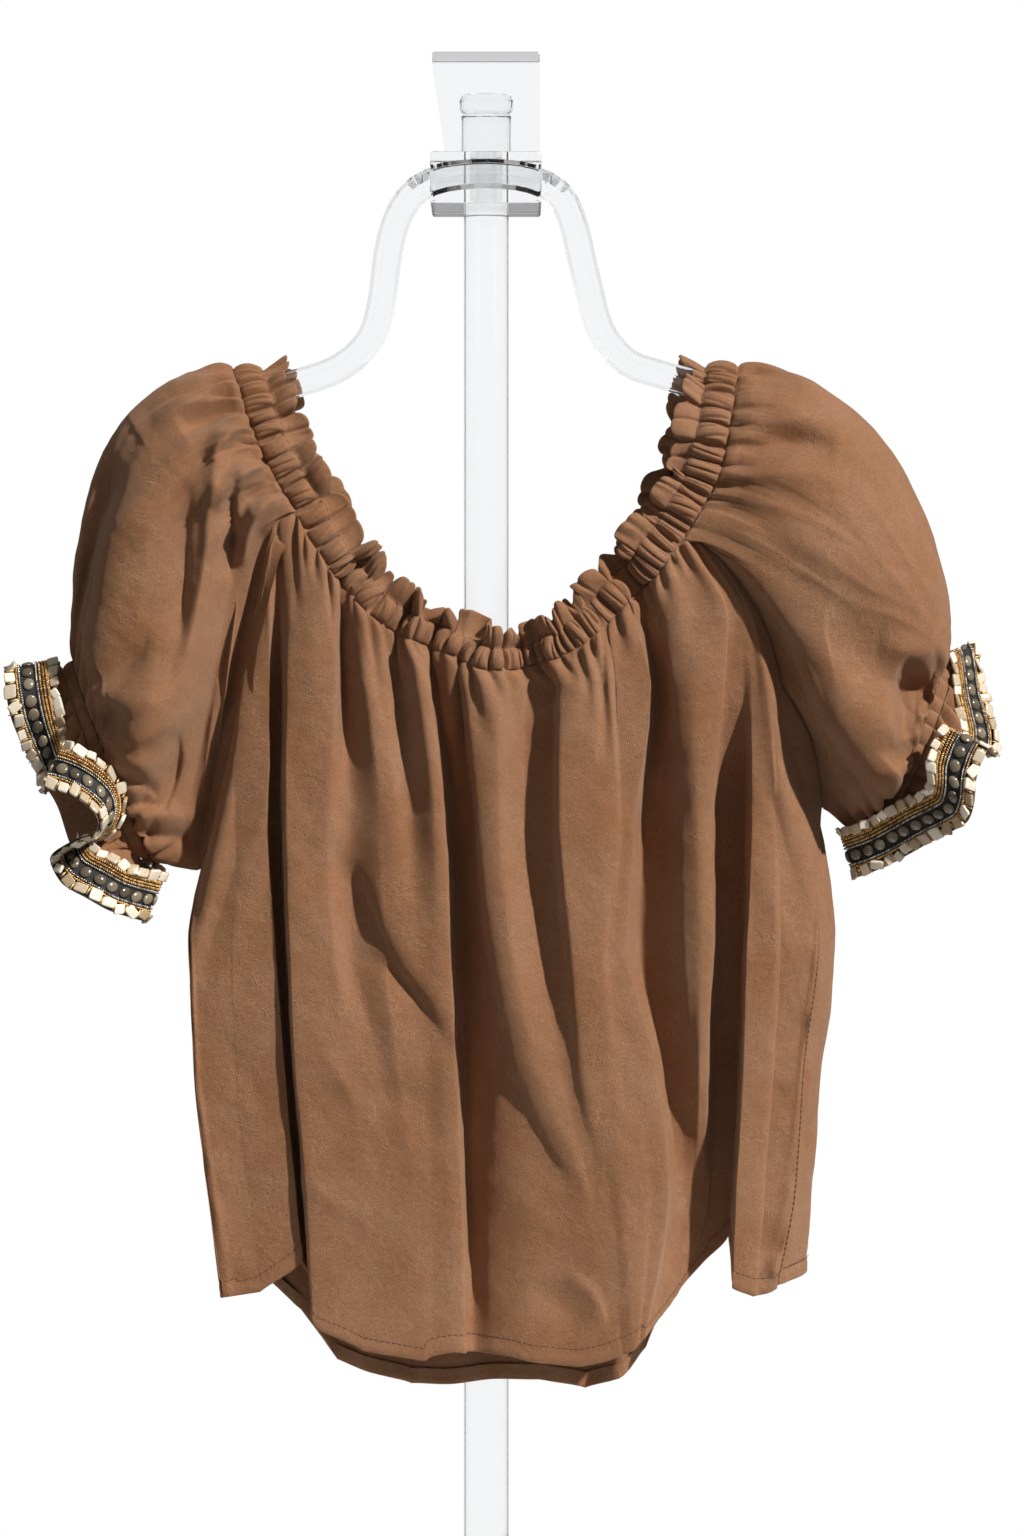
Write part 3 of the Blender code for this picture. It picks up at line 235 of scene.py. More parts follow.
# "top" is where a fold starts: the height on a raglan seam, or the x on the neck. A lip overlaps its "under".
FRONT_FOLDS = (
    # name, from, top, x560, x520, x450, x380, x310, x240, hem_x, hem_z,
    #     depth: top, 560, 520, 450, 380, 310, 240, hem
    ("side_left", "left", 421, 0, 0, 0, -164.5, -162.5, -154.5, -147.5, 183,
        0, 0, 0, 0, 0, 0, 0, 0),
    ("a_crest", "left", 528, 0, -134.5, -140, -140, -138, -132, -125.5, 186.5,
        1, 0, 2, 7, 11, 11, 11, 11),
    ("a_lip", "left", 600, -120, -120, -121, -117, -111.5, -105.5, -102, 206,
        0, 1.5, 2, 4, 5, 5, 5.5, 6),
    ("a_under", "left", 606, -119.5, -120.5, -122, -118, -112.5, -106.5, -102.5, 205,
        0, -3, -6, -7, -8, -8, -8, -6),
    ("v1", "left", 613, -115, -115, -116, -113, -108.5, -102.5, -99, 196,
        0, -8, -13, -15, -16, -16, -16, -13),
    ("b_edge", "left", 619.4, -108.5, -110, -110.5, -108.5, -105.5, -99, -96, 169,
        0, 2.5, 6.5, 11, 11.5, 12, 12, 11),
    ("b_ridge", "neck", -93, -93.5, -94, -97.5, -93, -84.5, -73.5, -68, 154.4,
        4, 6.5, 9, 9, 9.5, 9.5, 9.5, 8),
    ("b_side", "neck", -85, -84.5, -83.5, -88.5, -85, -76, -61.5, -58, 152.7,
        3, 5, 7, 8, 8, 8.5, 9, 8),
    ("v2", "neck", -81, -80.5, -79.5, -75, -75, -59.5, -50.5, -48, 151.1,
        -7, -8, -9, 0, 1, 7, 9, 8),
    ("b_second", "neck", -72, -70.5, -65, -58, -56.5, -48, -40.5, -40, 149.8,
        4, 4.5, 6, 7, 9, 9, 9, 8),
    ("b_fall", "neck", -58, 0, -56, -50.5, -46, -40.5, -34.5, -34, 149,
        -1, 0, 1, 7, 9, 8.5, 8.5, 8),
    ("v3", "neck", -50, 0, -48, -41.5, -38, -33.5, -29.5, -29.5, 151.6,
        -6, 0, -6, 3, 8.5, 8, 8, 7.5),
    ("b_crest", "neck", -42, 0, -36, -28, -26, -23, -20, -18.5, 153.9,
        5, 0, 10, 12, 9.5, 9, 8.5, 8),
    ("b_lip", "neck", -37, 0, -31.5, -22.5, -19.5, -16, -13, -11, 153.2,
        2, 0, 7, 9, 8, 7.5, 7, 6.5),
    ("b_under", "neck", -35, 0, -32, -23, -20, -17.5, -14, -12.5, 153.3,
        -3, 0, -2, -6, -8, -10, -9, -7),
    ("v4", "neck", -31, 0, -27.5, -18.5, -15, -12, -9.5, -6, 152.7,
        -5, 0, -14, -23, -28, -30, -27, -15),
    ("c_small", "neck", -22, 0, -19, -14, -9, -3.5, 0, 4.5, 151.6,
        2, 0, -4, -20, -24, -21, -15, -10),
    ("c_small_lip", "neck", -16, 0, -13.5, -9.5, -4, 5.5, 10, 14.5, 150.5,
        0, 0, -8, -17, -16, -10.5, -8, -6),
    ("v4_right", "neck", -14, 0, -12.5, -6.5, -1.5, 12, 21.5, 26, 147.5,
        -4, 0, -10, -11, -11, -5.5, -3.5, -3),
    ("c_edge", "neck", -11, 0, -10, -5, 2.5, 17, 39, 51.5, 144.9,
        3, 0, 4, 4, 3, 1, 0, -1),
    ("c_crest", "neck", 3, 0, 5.5, 6.5, 13, 28, 55.5, 69.5, 149.3,
        6, 0, 8, 8, 7, 5, 4, 2),
    ("v5", "neck", 20, 0, 23, 22.5, 31, 42.5, 59.5, 74, 151.1,
        -5, 0, -8, -7, -4, 3, 4, 3),
    ("v5_right", "neck", 28, 0, 38.5, 36, 40.5, 47.5, 64, 76, 152,
        -4, 0, -5, -3, 0, 4, 4.5, 3),
    ("d_edge", "neck", 35, 0, 42, 41.5, 48, 55, 68.5, 78.5, 152.9,
        3, 0, 6, 11.5, 11.5, 9, 5, 4),
    ("d_crest", "neck", 48, 0, 55.5, 61.5, 64, 68.5, 76, 82, 154.3,
        7, 0, 10, 11.5, 11, 9, 7, 5),
    ("d_mid", "neck", 64, 0, 68.5, 73, 68.5, 76, 88.5, 84, 156.5,
        6, 0, 10, 10, 8.5, 7.5, 6, 5),
    ("d_low", "neck", 67, 0, 71, 75.5, 71, 80.5, 92, 85.5, 158.4,
        1, 0, 5, 8, 7.5, 7, 5, 4),
    ("d_lip", "neck", 80, 82.5, 91.5, 83, 78.5, 95, 101, 87.5, 160.4,
        4, 4.5, 7, 6, 5.5, 5, 4, 4),
    ("d_under", "neck", 81.5, 84, 90.5, 82.5, 78, 95, 102.5, 89, 162.3,
        -4, -4, -4, -5, -3, -5, -6, 2),
    ("v6", "neck", 84, 87.5, 95, 89, 86, 99.5, 106.5, 92, 165.5,
        -8, -11, -19, -21, -20, -17, -15, -1),
    ("v6_right", "neck", 88, 92.5, 101, 99.5, 98, 106.5, 111, 93.5, 167.4,
        -5, -6.5, -12, -12, -12, -13, -18, -3),
    ("e_edge", "neck", 92, 96.5, 104, 110, 111, 114.5, 115.5, 95, 169.5,
        3, 3.5, 3, 3, 3, -4, -18.5, -5),
    ("e_crest", "neck", 101, 115.5, 116.5, 118, 119.5, 119, 118, 97.5, 172.2,
        5, 4, 9, 9, 7, 1, -19, -8),
    ("e_lip", "neck", 110, 133.5, 132, 125.5, 126, 123, 121.5, 102, 177.6,
        2, 5, 6, 6, 5, -1, -19.5, -12),
    ("e_under", "neck", 113.1, 135, 131.5, 125, 125.5, 124.5, 124.5, 106.5, 183.1,
        -2, 4, 2, -5, -5, -14, -20, -15),
    ("v7", "right", 606, 139, 135, 130, 131, 129, 126.5, 121, 201.3,
        0, 3, 0, -20, -21, -23, -22, -18),
    ("v7_right", "right", 600, 143.5, 143.5, 144.5, 143, 140.5, 137, 135.5, 217.3,
        0, 3, 0, -21, -22, -24, -22, -18),
    ("f_edge", "right", 592, 146.5, 148, 148, 145, 143, 139, 137, 189,
        0, 3, 3, 5, 6.5, 8, 9, 8),
    ("f_crest", "right", 566, 0, 156, 160, 160, 158, 153, 149, 184,
        0, 0, 7, 8, 8, 8, 8, 8),
    ("v8", "right", 515, 0, 0, 172, 170, 165, 159, 158, 186,
        0, 0, 0, -3, -3, -2.5, -2, 1),
    ("side_right", "right", 456, 0, 0, 0, 185.5, 177, 172, 162, 188,
        0, 0, 0, 0, 0, 0, 0, 0),
)
print(len(FRONT_FOLDS), "lines of folds on the front")

# %% [markdown]
# ## Folds of the back
# The back hangs in soft folds of about the same width. Its right edge is turned to the front with the side
# seam, so it has one more line, the turn.

# %% Back folds
BACK_LEVELS = (470.0, 380.0, 290.0)
# The back layer's middle, as distance behind the yoke plane, by height
BACK_DEPTH = ((640, 24), (545, 24), (470, 23), (380, 22), (290, 22), (130, 22))
BACK_FOLDS = (
    # name, from, top, x470, x380, x290, hem_x, hem_z, depth: top, 470, 380, 290, hem
    ("side_left", "left", 421, -159.2, -165.5, -160.5, -147.3, 183, 0, 0, 0, 0, 0),
    ("a_crest", "left", 520, -141, -143, -138, -126, 191, 0, 4, 8, 8, 8),
    ("a_valley", "left", 600, -119, -120, -112, -104, 171, 0, -5, -8, -8, -8),
    ("b_crest", "left", 620, -102, -98, -90, -84, 141, 0, 6, 8, 8, 8),
    ("b_valley", "neck", -86, -80, -76, -70, -64, 134.5, -3, -6, -6, -7, -7),
    ("c_crest", "neck", -64, -54, -52, -48, -42, 127.5, 3, 7, 8, 8, 8),
    ("c_valley", "neck", -34, -30, -30, -26, -20, 128.5, -3, -6, -8, -9, -9),
    ("d_crest", "neck", -6, -4, -2, 0, 4, 130, 3, 7, 8, 8, 7),
    ("d_valley", "neck", 20, 24, 24, 26, 30, 131, -3, -7, -8, -8, -7),
    ("e_crest", "neck", 46, 54, 54, 56, 56, 125, 3, 7, 9, 8, 8),
    ("e_valley", "neck", 72, 80, 80, 82, 75, 131.5, -3, -6, -8, -9, -8),
    ("f_crest", "neck", 95, 104, 104, 106, 90, 148, 3, 8, 8, 8, 7),
    ("f_valley", "right", 614, 127, 126, 124, 118, 210, 0, -5, -8, -8, -8),
    ("g_crest", "right", 586, 150, 150, 146, 140, 214, 0, 6, 8, 8, 7),
    ("g_valley", "right", 520, 172, 175, 170, 161, 200, 0, 2, 2, 2, 1),
    ("turn", "right", 468, 187, 195.3, 186, 179.5, 194, 0, 0, 0, 0, 0),
    ("side_right", "right", 456, 187.6, 184.2, 174.2, 162.5, 188, 0, 0, 0, 0, 0),
)
SEAM_TURN = 17.0      # how far the right side seam has come round to the front
print(len(BACK_FOLDS), "lines of folds on the back")

# %% [markdown]
# ## One fold, from top to hem
# A fold from the neck is placed by its x, and one from a raglan seam by its height. The seam's own table
# gives the rest, so every fold stays on its seam. `along_fold` reads one of a fold's values at any height
# below its start.

# %% Folds and where they start


def at_height(table, z):
    """x and y of a seam at a height."""
    rows = np.array(table, float)
    return ease(rows[:, 0], rows[:, 1], z), ease(rows[:, 0], rows[:, 2], z)


def fold_tops(folds, left_raglan, right_raglan, neck):
    tops = []
    for row in folds:
        if row[1] == "neck":
            tops.append((row[2], float(by_first(neck, row[2]))))
        else:
            seam = left_raglan if row[1] == "left" else right_raglan
            tops.append((float(at_height(seam, row[2])[0]), row[2]))
    return tops


def panel_of(folds, sign, seams, neck, levels, depth):
    """What a body panel is worked out from. sign is -1 for the front and 1 for the back."""
    return dict(folds=folds, sign=sign, seams=seams, neck=neck, levels=levels, depth=depth,
                tops=fold_tops(folds, *seams, neck), turned=folds[-2][0] == "turn", hem_at=4 + len(levels))


def along_fold(panel, k, z, values, top_value):
    """One of fold k's values at heights z, from its values at the levels and the hem and from its top."""
    hem_z, top_z = panel["folds"][k][panel["hem_at"]], panel["tops"][k][1]
    knots = [(hem_z, values[-1])]
    knots += [(level, v) for level, v in zip(panel["levels"][::-1], values[-2::-1]) if level < top_z - 8]
    knots = np.array(knots + [(top_z, top_value)])
    return ease(knots[:, 0], knots[:, 1], z)


def fold_x(panel, k, z):
    return along_fold(panel, k, z, panel["folds"][k][3:panel["hem_at"]], panel["tops"][k][0])


def fold_depth(panel, k, z):
    row, start = panel["folds"][k], panel["hem_at"] + 1
    return along_fold(panel, k, z, row[start + 1:start + 2 + len(panel["levels"])], row[start])


front_panel = panel_of(FRONT_FOLDS, -1, (LEFT_RAGLAN, RIGHT_RAGLAN), FRONT_NECK, FRONT_LEVELS, FRONT_DEPTH)
back_seams = (LEFT_BACK_RAGLAN, RIGHT_BACK_RAGLAN)
back_panel = panel_of(BACK_FOLDS, 1, back_seams, BACK_NECK, BACK_LEVELS, BACK_DEPTH)
print("first crest:", fold_depth(front_panel, 1, 300.0).round(1), "mm out")

# %% [markdown]
# ## The edges of a panel
# Above the underarm a panel ends at its raglan seams, and below it at its side seams, the right one of
# which has swung round to the front. Between its edges the cloth bulges like half an ellipse, and the folds
# stand on top of that.

# %% Edges and fold lines


def side_seam_y(z, top_z):
    return YOKE_Y - SEAM_TURN * ramp(top_z - z, 0, 60)


def panel_edges(panel, z):
    """x and y of the panel's left and right edges at heights z."""
    ends = []
    last = len(panel["folds"]) - (2 if panel["turned"] else 1)
    under_y = YOKE_Y if panel["turned"] else side_seam_y(z, panel["tops"][-1][1])
    for seam, k, y_below in zip(panel["seams"], (0, last), (YOKE_Y, under_y)):
        x, y = at_height(seam, np.clip(z, seam[0][0], seam[-1][0]))
        below = z < seam[0][0]
        ends += [np.where(below, fold_x(panel, k, z), x), np.where(below, y_below, y)]
    return ends


def fold_line(panel, k, rows):
    """Points down fold k, at shares of the way from its top to the hem."""
    row, top, sign = panel["folds"][k], panel["tops"][k], panel["sign"]
    z = top[1] + (row[panel["hem_at"]] - top[1]) * rows
    x = fold_x(panel, k, z)
    if k == 0 or row[0] == "turn":
        y = np.full(len(z), YOKE_Y)
    elif k == len(panel["folds"]) - 1:
        y = side_seam_y(z, top[1])
    else:
        left_x, left_y, right_x, right_y = panel_edges(panel, z)
        share = np.clip((x - left_x) / (right_x - left_x), 0, 1)
        edge = left_y * (1 - share) + right_y * share
        middle = YOKE_Y + sign * by_first(panel["depth"], z)
        y = edge + (middle - edge) * np.sqrt(np.maximum(0, 1 - (2 * share - 1) ** 2))
        y = y + sign * fold_depth(panel, k, z)
    return np.stack([x, y, z], 1)


edges = panel_edges(front_panel, np.array([300.0]))
print("front:", round(float(edges[2][0] - edges[0][0])), "mm wide")

# %% [markdown]
# ## A body panel as a grid
# Columns are set at even steps of cloth, so a steep fold gets as many as a flat one. The top row is then
# moved on to the seams exactly, and the rows below ease away from that.

# %% Body panel grid


def columns_between(lines, cells):
    """Places between the fold lines, in folds, at even steps of cloth along the top and the middle row."""
    rows = (0, lines.shape[1] // 2)
    step = sum(np.linalg.norm(np.diff(lines[:, j], axis=0), axis=1) for j in rows) + 0.5
    return np.interp(np.linspace(0, step.sum(), cells + 1), np.concatenate([[0], np.cumsum(step)]),
                     np.arange(len(lines)))


def on_top_seam(panel, column, point):
    """Where a point of the top row lies on the neck line or on a raglan seam."""
    low, high = int(math.floor(column)), min(int(math.ceil(column)), len(panel["folds"]) - 1)
    kinds = {panel["folds"][low][1], panel["folds"][high][1]}
    x, y, z = point
    if "neck" in kinds:
        return np.array((x, y, float(by_first(panel["neck"], x))))
    seam_x, seam_y = at_height(panel["seams"][0 if kinds == {"left"} else 1], z)
    return np.array((float(seam_x), float(seam_y), z))


def body_panel(panel, cells, rows):
    """The panel's points, columns along its folds and rows down to the hem, and each column's place."""
    lines = np.stack([fold_line(panel, k, rows) for k in range(len(panel["folds"]))])
    columns, ks = columns_between(lines, cells), np.arange(len(lines))
    grid = np.zeros((cells + 1, len(rows), 3))
    for j in range(len(rows)):
        grid[:, j, 0] = ease(ks, lines[:, j, 0], columns)
        grid[:, j, 1] = ease(ks, lines[:, j, 1], columns)
        grid[:, j, 2] = np.interp(columns, ks, lines[:, j, 2])
    ease_off = np.clip(1 - rows / 0.45, 0, 1)[:, None] ** 2
    for i, column in enumerate(columns):
        grid[i] += (on_top_seam(panel, column, grid[i, 0]) - grid[i, 0]) * ease_off
    return grid, columns


# Rows lie closer together near the top, where the gathers are
ROW_PLACES = np.linspace(0, 1, 160) ** 1.25
front, front_columns = body_panel(front_panel, 520, ROW_PLACES)
back, back_columns = body_panel(back_panel, 300, ROW_PLACES[::2])
print("front", front.shape, "back", back.shape)

# %% [markdown]
# ## Sides that hang forward
# Below the sleeves the sides have swung forward, so the front lies flat from its side seam to its first
# fold, and the back follows it round. Moving the finished grids is simpler than bending every fold line.

# %% Sides that hang forward
# How far each side comes forward, and the width over which that fades
SIDE_FORWARD = {"left": (31.0, 25), "right": (13.0, 30)}
SIDE_COLUMNS = 70     # more columns than either width


def flat_side(panel, seam_at, near, gap, far, wide, low):
    """Columns near a side seam laid on straight lines from the seam to the place that is wide away."""
    for j in range(panel.shape[1]):
        y = panel[near, j, 1]
        side_y = y[0] - far * low[j]
        flat = side_y + (np.interp(wide, gap[:, j], y) - side_y) * gap[:, j] / wide
        panel[near, j, 1] = np.where(gap[:, j] < wide, np.minimum(y, flat), y)


for seam_at, near, (far, wide) in ((0, slice(0, SIDE_COLUMNS), SIDE_FORWARD["left"]),
                                   (-1, slice(-1, -SIDE_COLUMNS - 1, -1), SIDE_FORWARD["right"])):
    for panel in (front, back):
        low = ramp(-panel[seam_at, :, 2], -440, -360)
        gap = np.abs(panel[near, :, 0] - panel[seam_at, :, 0])
        if panel is front:
            flat_side(panel, seam_at, near, gap, far, wide, low)
        else:
            panel[near, :, 1] -= far * low * (1 - ramp(gap, 0, wide)) * ramp(-panel[near, :, 1], -45, 20)
print("side seams, y:", front[0, -1, 1].round(), front[-1, -1, 1].round())

# %% [markdown]
# ## The ring of the neck
# One seam runs all round the neck: front, shoulders and back. Everything gathered is measured along this
# ring, so that a pucker in the elastic channel carries on into the cloth on both sides.

# %% The neck ring


def column_at(folds, columns, name):
    return int(np.argmin(abs(columns - [row[0] for row in folds].index(name))))


front_left_top = column_at(FRONT_FOLDS, front_columns, "b_edge")
front_right_top = column_at(FRONT_FOLDS, front_columns, "e_lip")
back_left_top = column_at(BACK_FOLDS, back_columns, "b_crest")
back_right_top = column_at(BACK_FOLDS, back_columns, "f_valley")
SHOULDER_CELLS = 180
left_shoulder, right_shoulder = evenly(LEFT_SHOULDER, SHOULDER_CELLS), evenly(RIGHT_SHOULDER, SHOULDER_CELLS)
for line, front_at, back_at in ((left_shoulder, front_left_top, back_left_top),
                                (right_shoulder, front_right_top, back_right_top)):
    line += np.linspace(1, 0, len(line))[:, None] ** 6 * (front[front_at, 0] - line[0])
    line += np.linspace(0, 1, len(line))[:, None] ** 6 * (back[back_at, 0] - line[-1])
ring = np.concatenate([front[front_left_top:front_right_top, 0], right_shoulder[:-1],
                       back[back_left_top + 1:back_right_top + 1, 0][::-1], left_shoulder[::-1][:-1]])
ring_run = run_of(np.concatenate([ring, ring[:1]]))
RING = ring_run[-1]
ring_run = ring_run[:-1]
print("neck ring:", round(RING), "mm")

# %% [markdown]
# ## Puckers
# Each pucker starts at a stitch and dies out down the cloth after its own length. Shirring comes out of the
# machine uneven, so spacing and depth are drawn at random, from one fixed seed.

# %% Places of the puckers
PUCKER_STEP = 9.4
draw = np.random.default_rng(7)
pucker_count = int(RING / PUCKER_STEP)
gaps = draw.uniform(0.55, 1.6, pucker_count)
pucker_at = np.cumsum(gaps) * RING / gaps.sum()
pucker_deep = draw.uniform(0.55, 1.3, pucker_count)
pucker_long = np.where(draw.uniform(0, 1, pucker_count) < 0.35, draw.uniform(40, 85, pucker_count),
                       draw.uniform(12, 34, pucker_count))
pucker_lean = draw.uniform(-0.16, 0.16, pucker_count)       # sideways run for each mm down
print(pucker_count, "puckers round the neck")

# %% [markdown]
# ## Gathers below a seam
# A pucker is a narrow cut into the cloth with a low swell on both sides, steeper on one, and it widens as
# it runs down. `gathers` adds them all up at any place round the ring and any distance below it, for the
# body and the sleeves alike.

# %% Gathers


def round_ring(s, at):
    """Distance along the ring from a place on it, the short way."""
    return (s - at + RING / 2) % RING - RING / 2


def gathers(s, down, spread=0.085):
    """How far the cloth stands out at s round the ring and down below the stitches, in mm."""
    out = 3.4 * (1 - np.exp(-down / 3.5)) * np.exp(-down / 30.0)
    for at, deep, length, lean in zip(pucker_at, pucker_deep, pucker_long, pucker_lean):
        off = round_ring(s, at) - lean * down
        near = np.abs(off).min(axis=1) < 30
        if near.any():
            off, below = off[near], down[near]
            wide = 1.5 + below * spread
            fade = np.clip(1 - below / length, 0, 1) ** 1.2
            rise = 1 - np.exp(-(below + 0.6) / 1.6)
            skew = np.where(off > 0, 1.0, 1.5)
            cut = np.exp(-(off / (wide * skew)) ** 2)
            swell = np.exp(-((np.abs(off) - 2.4 * wide) / (1.4 * wide)) ** 2)
            out[near] += deep * rise * fade * (-4.6 * cut + 0.9 * swell)
    return out


print("deepest gather:", gathers(ring_run[:, None], np.full((len(ring), 1), 8.0)).min().round(1), "mm")

# %% [markdown]
# ## Creases set one by one
# Cloth that has been worn and hung keeps soft creases that no rule gives. Each is a row: a line over the
# panel, and how wide and deep the trough is. With a plus it is a ridge.

# %% Creases on the front
# Each line is x and height at its two ends; width and depth in mm; bow, how far its middle sags sideways; and
# steep, the side that is steep: 1 is right of a line that runs down, -1 left of it, 0 neither.
FRONT_CREASES = (
    # x0, z0, x1, z1, wide, deep, bow, steep
    (-80, 428, -24, 328, 15, -5.5, -5, 1), (-66, 372, -34, 345, 8, -2.2, 3, 1),
    (-94, 330, -62, 250, 9, 1.8, 4, 0), (-58, 300, -28, 276, 12, -2.4, 4, 0),
    (-100, 250, -66, 228, 6, 1.4, -3, 0), (18, 300, 44, 250, 9, -1.6, -3, 1),
    (48, 195, 66, 170, 7, 2.6, 4, 1), (30, 188, 50, 168, 9, -2.6, 2, 0),
    (62, 300, 40, 262, 9, 1.4, 4, 0), (-86, 300, -60, 250, 9, -1.4, 5, 0),
    (-20, 330, -60, 290, 10, -1.2, 4, 0), (10, 250, 50, 215, 10, 1.2, -4, 0),
    (128, 430, 150, 380, 7, -1.2, 4, 0), (-150, 330, -120, 280, 8, -1.2, 3, 0),
    (184, 345, 164, 322, 6, -2.6, 2, 0), (182, 318, 166, 300, 5, 1.8, 2, 0),
    (178, 262, 160, 246, 5, -1.6, 2, 0), (176, 222, 156, 206, 5, -4, 2, 1),
    (172, 206, 160, 196, 4, 2.8, 0, 0),
)


def creases(grid, table, place=(0, 2)):
    """The depth of a table of creases at every point of a grid, from two of the grid's coordinates."""
    at = grid[..., list(place)]
    total = np.zeros(at.shape[:-1])
    for x0, z0, x1, z1, wide, deep, bow, steep in table:
        start, end = np.array([x0, z0], float), np.array([x1, z1], float)
        along = end - start
        length = np.linalg.norm(along)
        side = np.array([-along[1], along[0]]) / length
        t = ((at - start) @ along) / length ** 2
        off = (at - start) @ side - bow * np.sin(np.pi * np.clip(t, 0, 1))
        over = np.maximum(np.abs(t - 0.5) - 0.5, 0) * length
        taper = np.sin(np.pi * np.clip((t + 0.15) / 1.3, 0, 1)) ** 0.8
        # A steep side keeps a third of the width. Its edge is crisp, while both slopes run out softly.
        width = np.where(off * steep > 0, 0.34 * wide, wide)
        total += deep * taper * np.exp(-(np.abs(off) / width) ** 1.6 - (over / wide) ** 2)
    return total


print(len(FRONT_CREASES), "creases on the front")

# %% [markdown]
# ## The hem
# The hem is the panel's own edge, turned up 8 mm inside and stitched. So the sheet goes down to the fold,
# round it and up again, with a shallow groove at the stitches. A thick solid edge would look like card.

# %% Hem
HEM = 8.0
HEM_TURN = ((0.5, -0.6), (1.3, -0.7), (1.8, 0.0))   # inward and down, round the fold


def hemmed(grid, normal, down_run):
    """The grid with a groove at the hem's stitches and its edge turned up inside."""
    above = down_run[:, -1:] - down_run
    groove = 0.7 * np.exp(-((above - HEM) / 0.9) ** 2) - 0.35 * ramp(HEM - above, 0, 3)
    grid = grid - normal * groove[..., None]
    edge, face = grid[:, -1], normal[:, -1]
    down = unit(edge - grid[:, -4])
    turned = [edge - face * inward + down * (-low) for inward, low in HEM_TURN]
    turned += [edge - face * 1.6 - down * up for up in (2.5, 5.5, HEM)]
    return np.concatenate([grid, np.stack(turned, 1)], axis=1)


print("hem:", HEM, "mm")

# %% [markdown]
# ## Where a piece goes under its neighbour
# A sewn seam hides the raw edges of both its pieces, so each piece goes on a little past its seam. Along a
# raglan both pass through one line just inside the seam, so no light comes through.

# %% Tucks under the seams


def smooth_line(line, times):
    for _ in range(times):
        line = np.concatenate([line[:1], (line[:-2] + line[1:-1] + line[2:]) / 3, line[-1:]])
    return line


def tucked(grid, normal, seam, on_raglan, deep=2.2, reach=3.0):
    """Two extra first rows, folded in under the seam and on past it, where the next piece covers them."""
    along = unit(np.gradient(smooth_line(grid[:, 0], 3), axis=0))[:, None]
    past = unit(np.cross(along, normal[:, :1]))
    past *= np.sign(np.sum(past * (grid[:, :1] - grid[:, 4:5])))
    inside = unit(seam * (0.75, 0, 1) + np.array([0, YOKE_Y, 0]) - seam)[:, None]
    share = on_raglan[:, None, None]
    near = (grid[:, :1] - normal[:, :1] * 0.9 + past * 0.8) * (1 - share) + (seam[:, None] + inside) * share
    first = (grid[:, :1] - normal[:, :1] * deep) * (1 - share) + (near + inside * deep * 0.5) * share
    return np.concatenate([first + past * reach, near, grid[:, 1:]], axis=1)


print("a tuck adds two rows")

# %% [markdown]
# ## Dressing a panel
# The plain grid now gets what makes it cloth: gathers, creases, dips and small puckers along the seams, a
# general unevenness, and last its tucks and its hem. All of them move points along the cloth's own facing.

# %% Dressed panels


def dress_panel(grid, flip, first, last, ring_from, seed, table):
    """The panel with its gathers, creases, unevenness and hem. first and last are its columns on the neck."""
    normal = grid_normals(grid, False) * flip
    down = np.cumsum(np.linalg.norm(np.diff(grid, axis=1, prepend=grid[:, :1]), axis=2), axis=1)
    top_run = run_of(grid[:, 0])
    s = ring_from(top_run - top_run[first], top_run[last] - top_run[first])
    # A column beside the neck still feels the end of the ring.
    on_neck = np.ones(len(grid))
    on_neck[:first] = np.exp(-(top_run[first] - top_run[:first]) / 12.0)
    on_neck[last:] = np.exp(-(top_run[last:] - top_run[last]) / 12.0)
    push = gathers(np.broadcast_to(s[:, None], down.shape), down) * on_neck[:, None]
    push += creases(grid, table)
    seam_line = np.ones(len(grid))
    seam_line[first:last] = 0.0
    push -= (1.0 * seam_line)[:, None] * np.exp(-(down / 1.6) ** 2)
    # Along each side seam the cloth dips a little, and its stitches draw it into small puckers.
    for edge in (0, -1):
        away = np.linalg.norm(grid - grid[edge][None], axis=2)
        push *= ramp(away, 0.0, 5.0)
        pucker = ripple(grid, 26.0, seed + 5) * (np.exp(-(away / 14) ** 2) - np.exp(-(away / 4) ** 2))
        push += -0.7 * np.exp(-(away / 1.2) ** 2) + 0.8 * np.exp(-((away - 5) / 3) ** 2) + 1.3 * pucker
    push += 0.55 * ripple(grid, 42.0, seed) * ramp(down, 4, 30) + 0.16 * ripple(grid, 13.0, seed + 1)
    made = grid + normal * push[..., None]
    normal = grid_normals(made, False) * flip
    return hemmed(tucked(made, normal, grid[:, 0], seam_line), np.concatenate([normal[:, :1], normal], 1),
                  np.concatenate([down[:, :1], down], 1))


front_dressed = dress_panel(front, -1.0, front_left_top, front_right_top,
                            lambda run, total: run, 11, FRONT_CREASES)
back_start = ring_run[front_right_top - front_left_top + SHOULDER_CELLS]
back_dressed = dress_panel(back, 1.0, back_left_top, back_right_top,
                           lambda run, total: back_start + total - run, 12, ())
print("front:", np.round(front_dressed.min((0, 1))), "to", np.round(front_dressed.max((0, 1))))

# %% [markdown]
# ## Room for the hanger
# The hanger's bent tube passes under both shoulders. Cloth that would cross it is lifted straight up in an
# arch, as a blanket lies over a rail. Pushed away from the tube's middle instead, points on both sides of a
# frill would spread apart and tear its edge into teeth.

# %% Cloth over the tube
TUBE_RADIUS = 8.0
TUBE_UNDER_SHOULDERS = (
    ((-182, 677.1), (-160, 680.1), (-136, 684.6), (-109, 691.6), (-85, 699.5), (-69.5, 711)),
    ((69.5, 713.5), (81.8, 702.5), (96.3, 697.8), (115, 692.6), (140, 686.4), (188, 679.7)),
)
TUBE_LOWEST = 655.0     # cloth below this is nowhere near the tube


